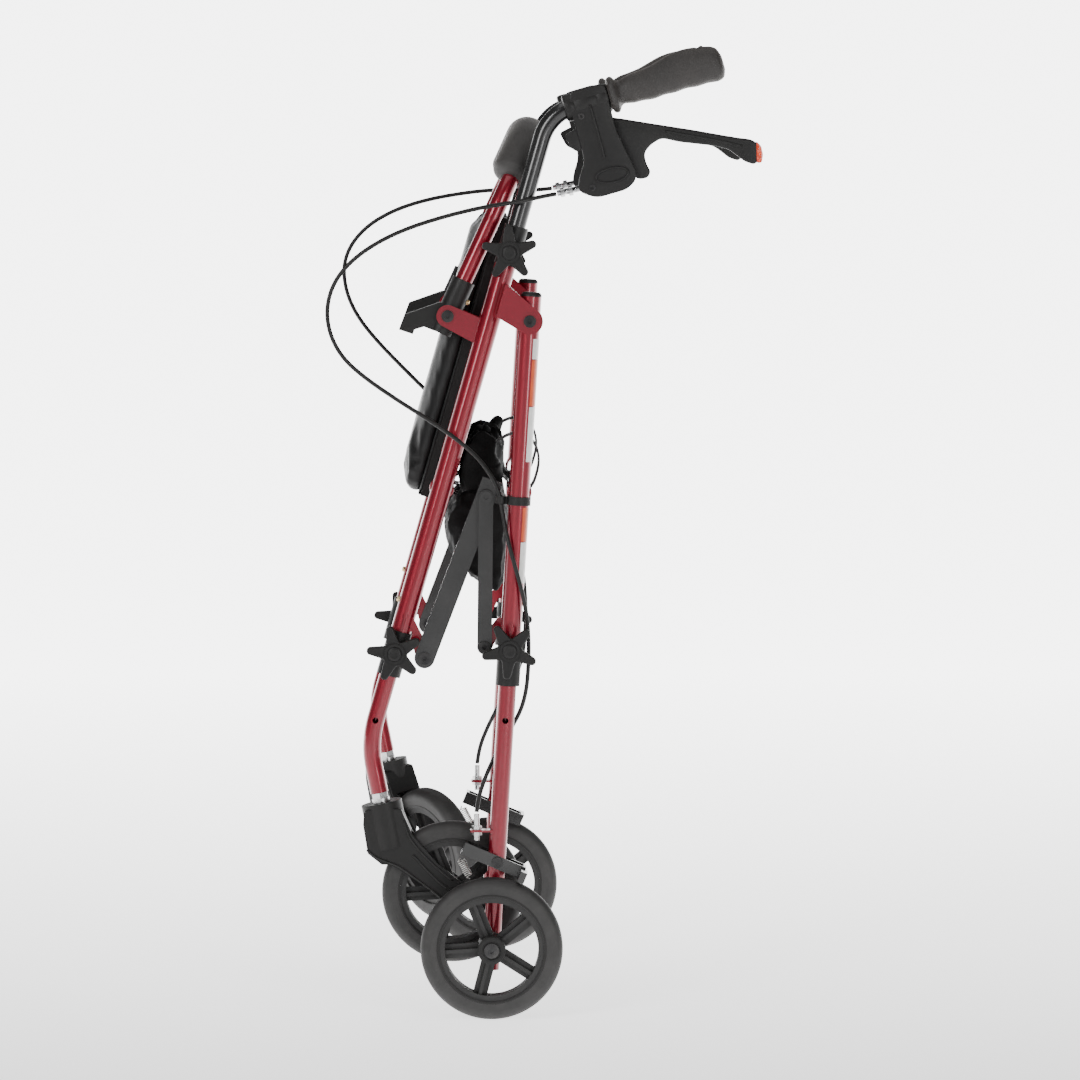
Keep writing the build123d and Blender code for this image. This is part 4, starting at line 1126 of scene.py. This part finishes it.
STRIPS = (
    (704.5, 726, WHITE_STRIP), (654.5, 703.5, ORANGE_STRIP), (595, 653.5, WHITE_STRIP),
    (465, 509, WHITE_STRIP), (510, 546, ORANGE_STRIP),
)
for k, (low_z, high_z, finish) in enumerate(STRIPS):
    label_strip(f"label_strip_{k}", low_z, high_z, finish)


def weld_bead(name, centre, lean, leg_out, sign, body):
    """The bead where a cross tube meets a leg."""
    line = []
    for k in range(36):
        a = 2 * pi * k / 36
        x, z = centre[0] + (BAR_R + 0.5) * cos(a), centre[1] + (BAR_R + 0.5) * sin(a)
        off = (x - centre[0]) * cos(radians(lean)) - (z - centre[1]) * sin(radians(lean))
        reach = math.sqrt(max(BAR_R ** 2 - off ** 2, 0.0))
        wobble = 0.3 * noise.noise(Vector((a * 5, lean, 0)))
        line.append(at(x, z, (leg_out - reach - 0.4 + wobble) * sign))
    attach(ribbon(name, line, 0.0017, RED, closed=True, steps=3), body)


def coil(name, start, end, out, radius, wire, turns, finish, body):
    """A tension spring between two side points."""
    a, b = at(*start, out), at(*end, out)
    axis = (b - a).normalized()
    u = axis.orthogonal().normalized()
    v = axis.cross(u)
    line = [a]
    steps = turns * 14
    for k in range(steps + 1):
        t = k / steps
        angle = 2 * pi * turns * t
        middle = a.lerp(b, 0.12 + 0.76 * t)
        line.append(middle + (u * cos(angle) + v * sin(angle)) * radius / 1000)
    line.append(b)
    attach(sweep_tube(name, line, wire / 1000, finish, sides=8), body)


for side, sign in SIDES:
    weld_bead(f"{side}_front_weld", HINGE, FRONT_LEAN, FRONT_OUT, sign, "front_frame")
    weld_bead(f"{side}_rear_weld", REAR_BAR, REAR_LEAN, REAR_OUT, sign, "rear_frame")
    coil(f"{side}_brake_spring", (-34, 169), (-23, 147), 231 * sign, 4.0, 0.65, 9, ZINC,
         f"{side}_rear_lower_leg")


def turned(name, centre, axis, profile, finish, body, sides=48):
    """A piece turned about an axis; profile is a closed run of (along, radius) in mm."""
    axis = axis.normalized()
    u = axis.orthogonal().normalized()
    v = axis.cross(u)
    bm = bmesh.new()
    rings = []
    for along, radius in profile:
        ring = []
        for k in range(sides):
            a = 2 * pi * k / sides
            ring.append(bm.verts.new(centre + (axis * along + (u * cos(a) + v * sin(a)) * radius) / 1000))
        rings.append(ring)
    join_rings(bm, rings + rings[:1])
    bmesh.ops.remove_doubles(bm, verts=bm.verts, dist=1e-6)
    bmesh.ops.dissolve_degenerate(bm, edges=bm.edges, dist=1e-7)
    made = mesh_object(name, bm, finish)
    smooth_by_angle(made, 35)
    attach(made, body)
    return made


def joint_line(name):
    """A joint's place and axis."""
    joint = next(j for j in frame["joints"] if j["name"] == name)
    return Vector(joint["pos_m"]), Vector(joint["axis"]).normalized()


def lip(inner, outer, face, height):
    """Profile of a rounded ring that stands on a face."""
    middle = (inner + outer) / 2
    return [(face - 0.3, inner), (face + height * 0.7, inner + 0.2), (face + height, middle),
            (face + height * 0.7, outer - 0.2), (face - 0.3, outer)]


TYRE_LIP = moulded("tyre_lip", 0.011, (0.4, 0.55), 1200)
for side, sign in SIDES:
    for end in ("front", "rear"):
        body = f"{side}_{end}_wheel"
        place, axis = joint_line(f"{body}_spin")
        for face in (1, -1):
            for k, (inner, outer, height) in enumerate(((56.3, 59.0, 0.7), (50.0, 51.4, -0.4))):
                profile = lip(inner, outer, 12.4 - 1.5 * k, height)
                turned(f"{body}_lip_{k}_{face + 1}", place, axis * face, profile, TYRE_LIP, body, 96)
        if end == "rear":
            cup = Vector((place.x, -0.2831 * sign, place.z))
            turned(f"{body}_cup", cup, Vector((0, -sign, 0)), lip(9.2, 14.6, 0.0, 1.6), PLASTIC, body)
    for knob in KNOBS:
        body = f"{side}_{knob}"
        place, axis = joint_line(f"{body}_turn")
        lo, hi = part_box(body)
        outer_face = lo.y if sign > 0 else hi.y
        place.y = outer_face
        cap = [(-0.4, 0.0), (-0.4, 7.6), (0.5, 7.4), (1.2, 6.2), (1.5, 4.6), (1.3, 3.6), (1.2, 0.0)]
        turned(f"{body}_cap", place, Vector((0, -sign, 0)), cap, PLASTIC, body)

STEM_LINE = joint_line("right_caster_swivel")


def on_caster(x, z, out, sign):
    """Row-frame point of a side point on the caster; the right caster stands swivelled inwards."""
    point = at(x, z, out * sign)
    if sign > 0:
        return point
    turn = Matrix.Rotation(radians(-55.0), 4, STEM_LINE[1])
    return STEM_LINE[0] + turn @ (point - STEM_LINE[0])


RIBS = {
    "upper": [(-94, 207), (-88, 190), (-76, 174), (-60, 158), (-42, 143)],
    "lower": [(-112, 163), (-98, 157), (-80, 144), (-64, 132), (-52, 122)],
    "middle": [(-84, 170), (-70, 155), (-56, 141), (-48, 135)],
    "crown": [(-134, 176), (-124, 168), (-112, 163)],
}
for side, sign in SIDES:
    for face in (219.2, 180.8):
        for name, path in RIBS.items():
            line = [on_caster(x, z, face, sign) for x, z in path]
            rib = ribbon(f"{side}_fork_rib_{name}_{face:.0f}", line, 0.0013, PLASTIC)
            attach(rib, f"{side}_caster")

# --- Floor -------------------------------------------------------------------------------------

FLOOR_R = 50.0
floor_mesh = bpy.data.meshes.new("floor")
rim = [(FLOOR_R * cos(2 * pi * k / 96), FLOOR_R * sin(2 * pi * k / 96), 0.0) for k in range(96)]
floor_mesh.from_pydata(rim, [], [list(range(96))])
floor = bpy.data.objects.new("floor", floor_mesh)
bpy.context.scene.collection.objects.link(floor)
backdrop = Finish("floor_with_painted_glow", 0.75)
backdrop.colour(backdrop.noise(1.2, 3), (0.90, 0.90, 0.90), (0.93, 0.93, 0.93))
# Painted light: the floor glows white, faintly in front of the walker and brightly far behind it. The glow
# whitens the backdrop and lights the walker from below.
backdrop.shader.inputs["Emission Color"].default_value = (1, 1, 1, 1)
split = backdrop.node("ShaderNodeSeparateXYZ")
backdrop.link(backdrop.place, split.inputs[0])
glow = backdrop.node("ShaderNodeMapRange")
for key, value in (("From Min", -1.2), ("From Max", 3.5), ("To Min", 0.7), ("To Max", 5.5)):
    glow.inputs[key].default_value = value
backdrop.link(split.outputs["Y"], glow.inputs["Value"])
backdrop.link(glow.outputs["Result"], backdrop.shader.inputs["Emission Strength"])
floor_mesh.materials.append(backdrop.material)
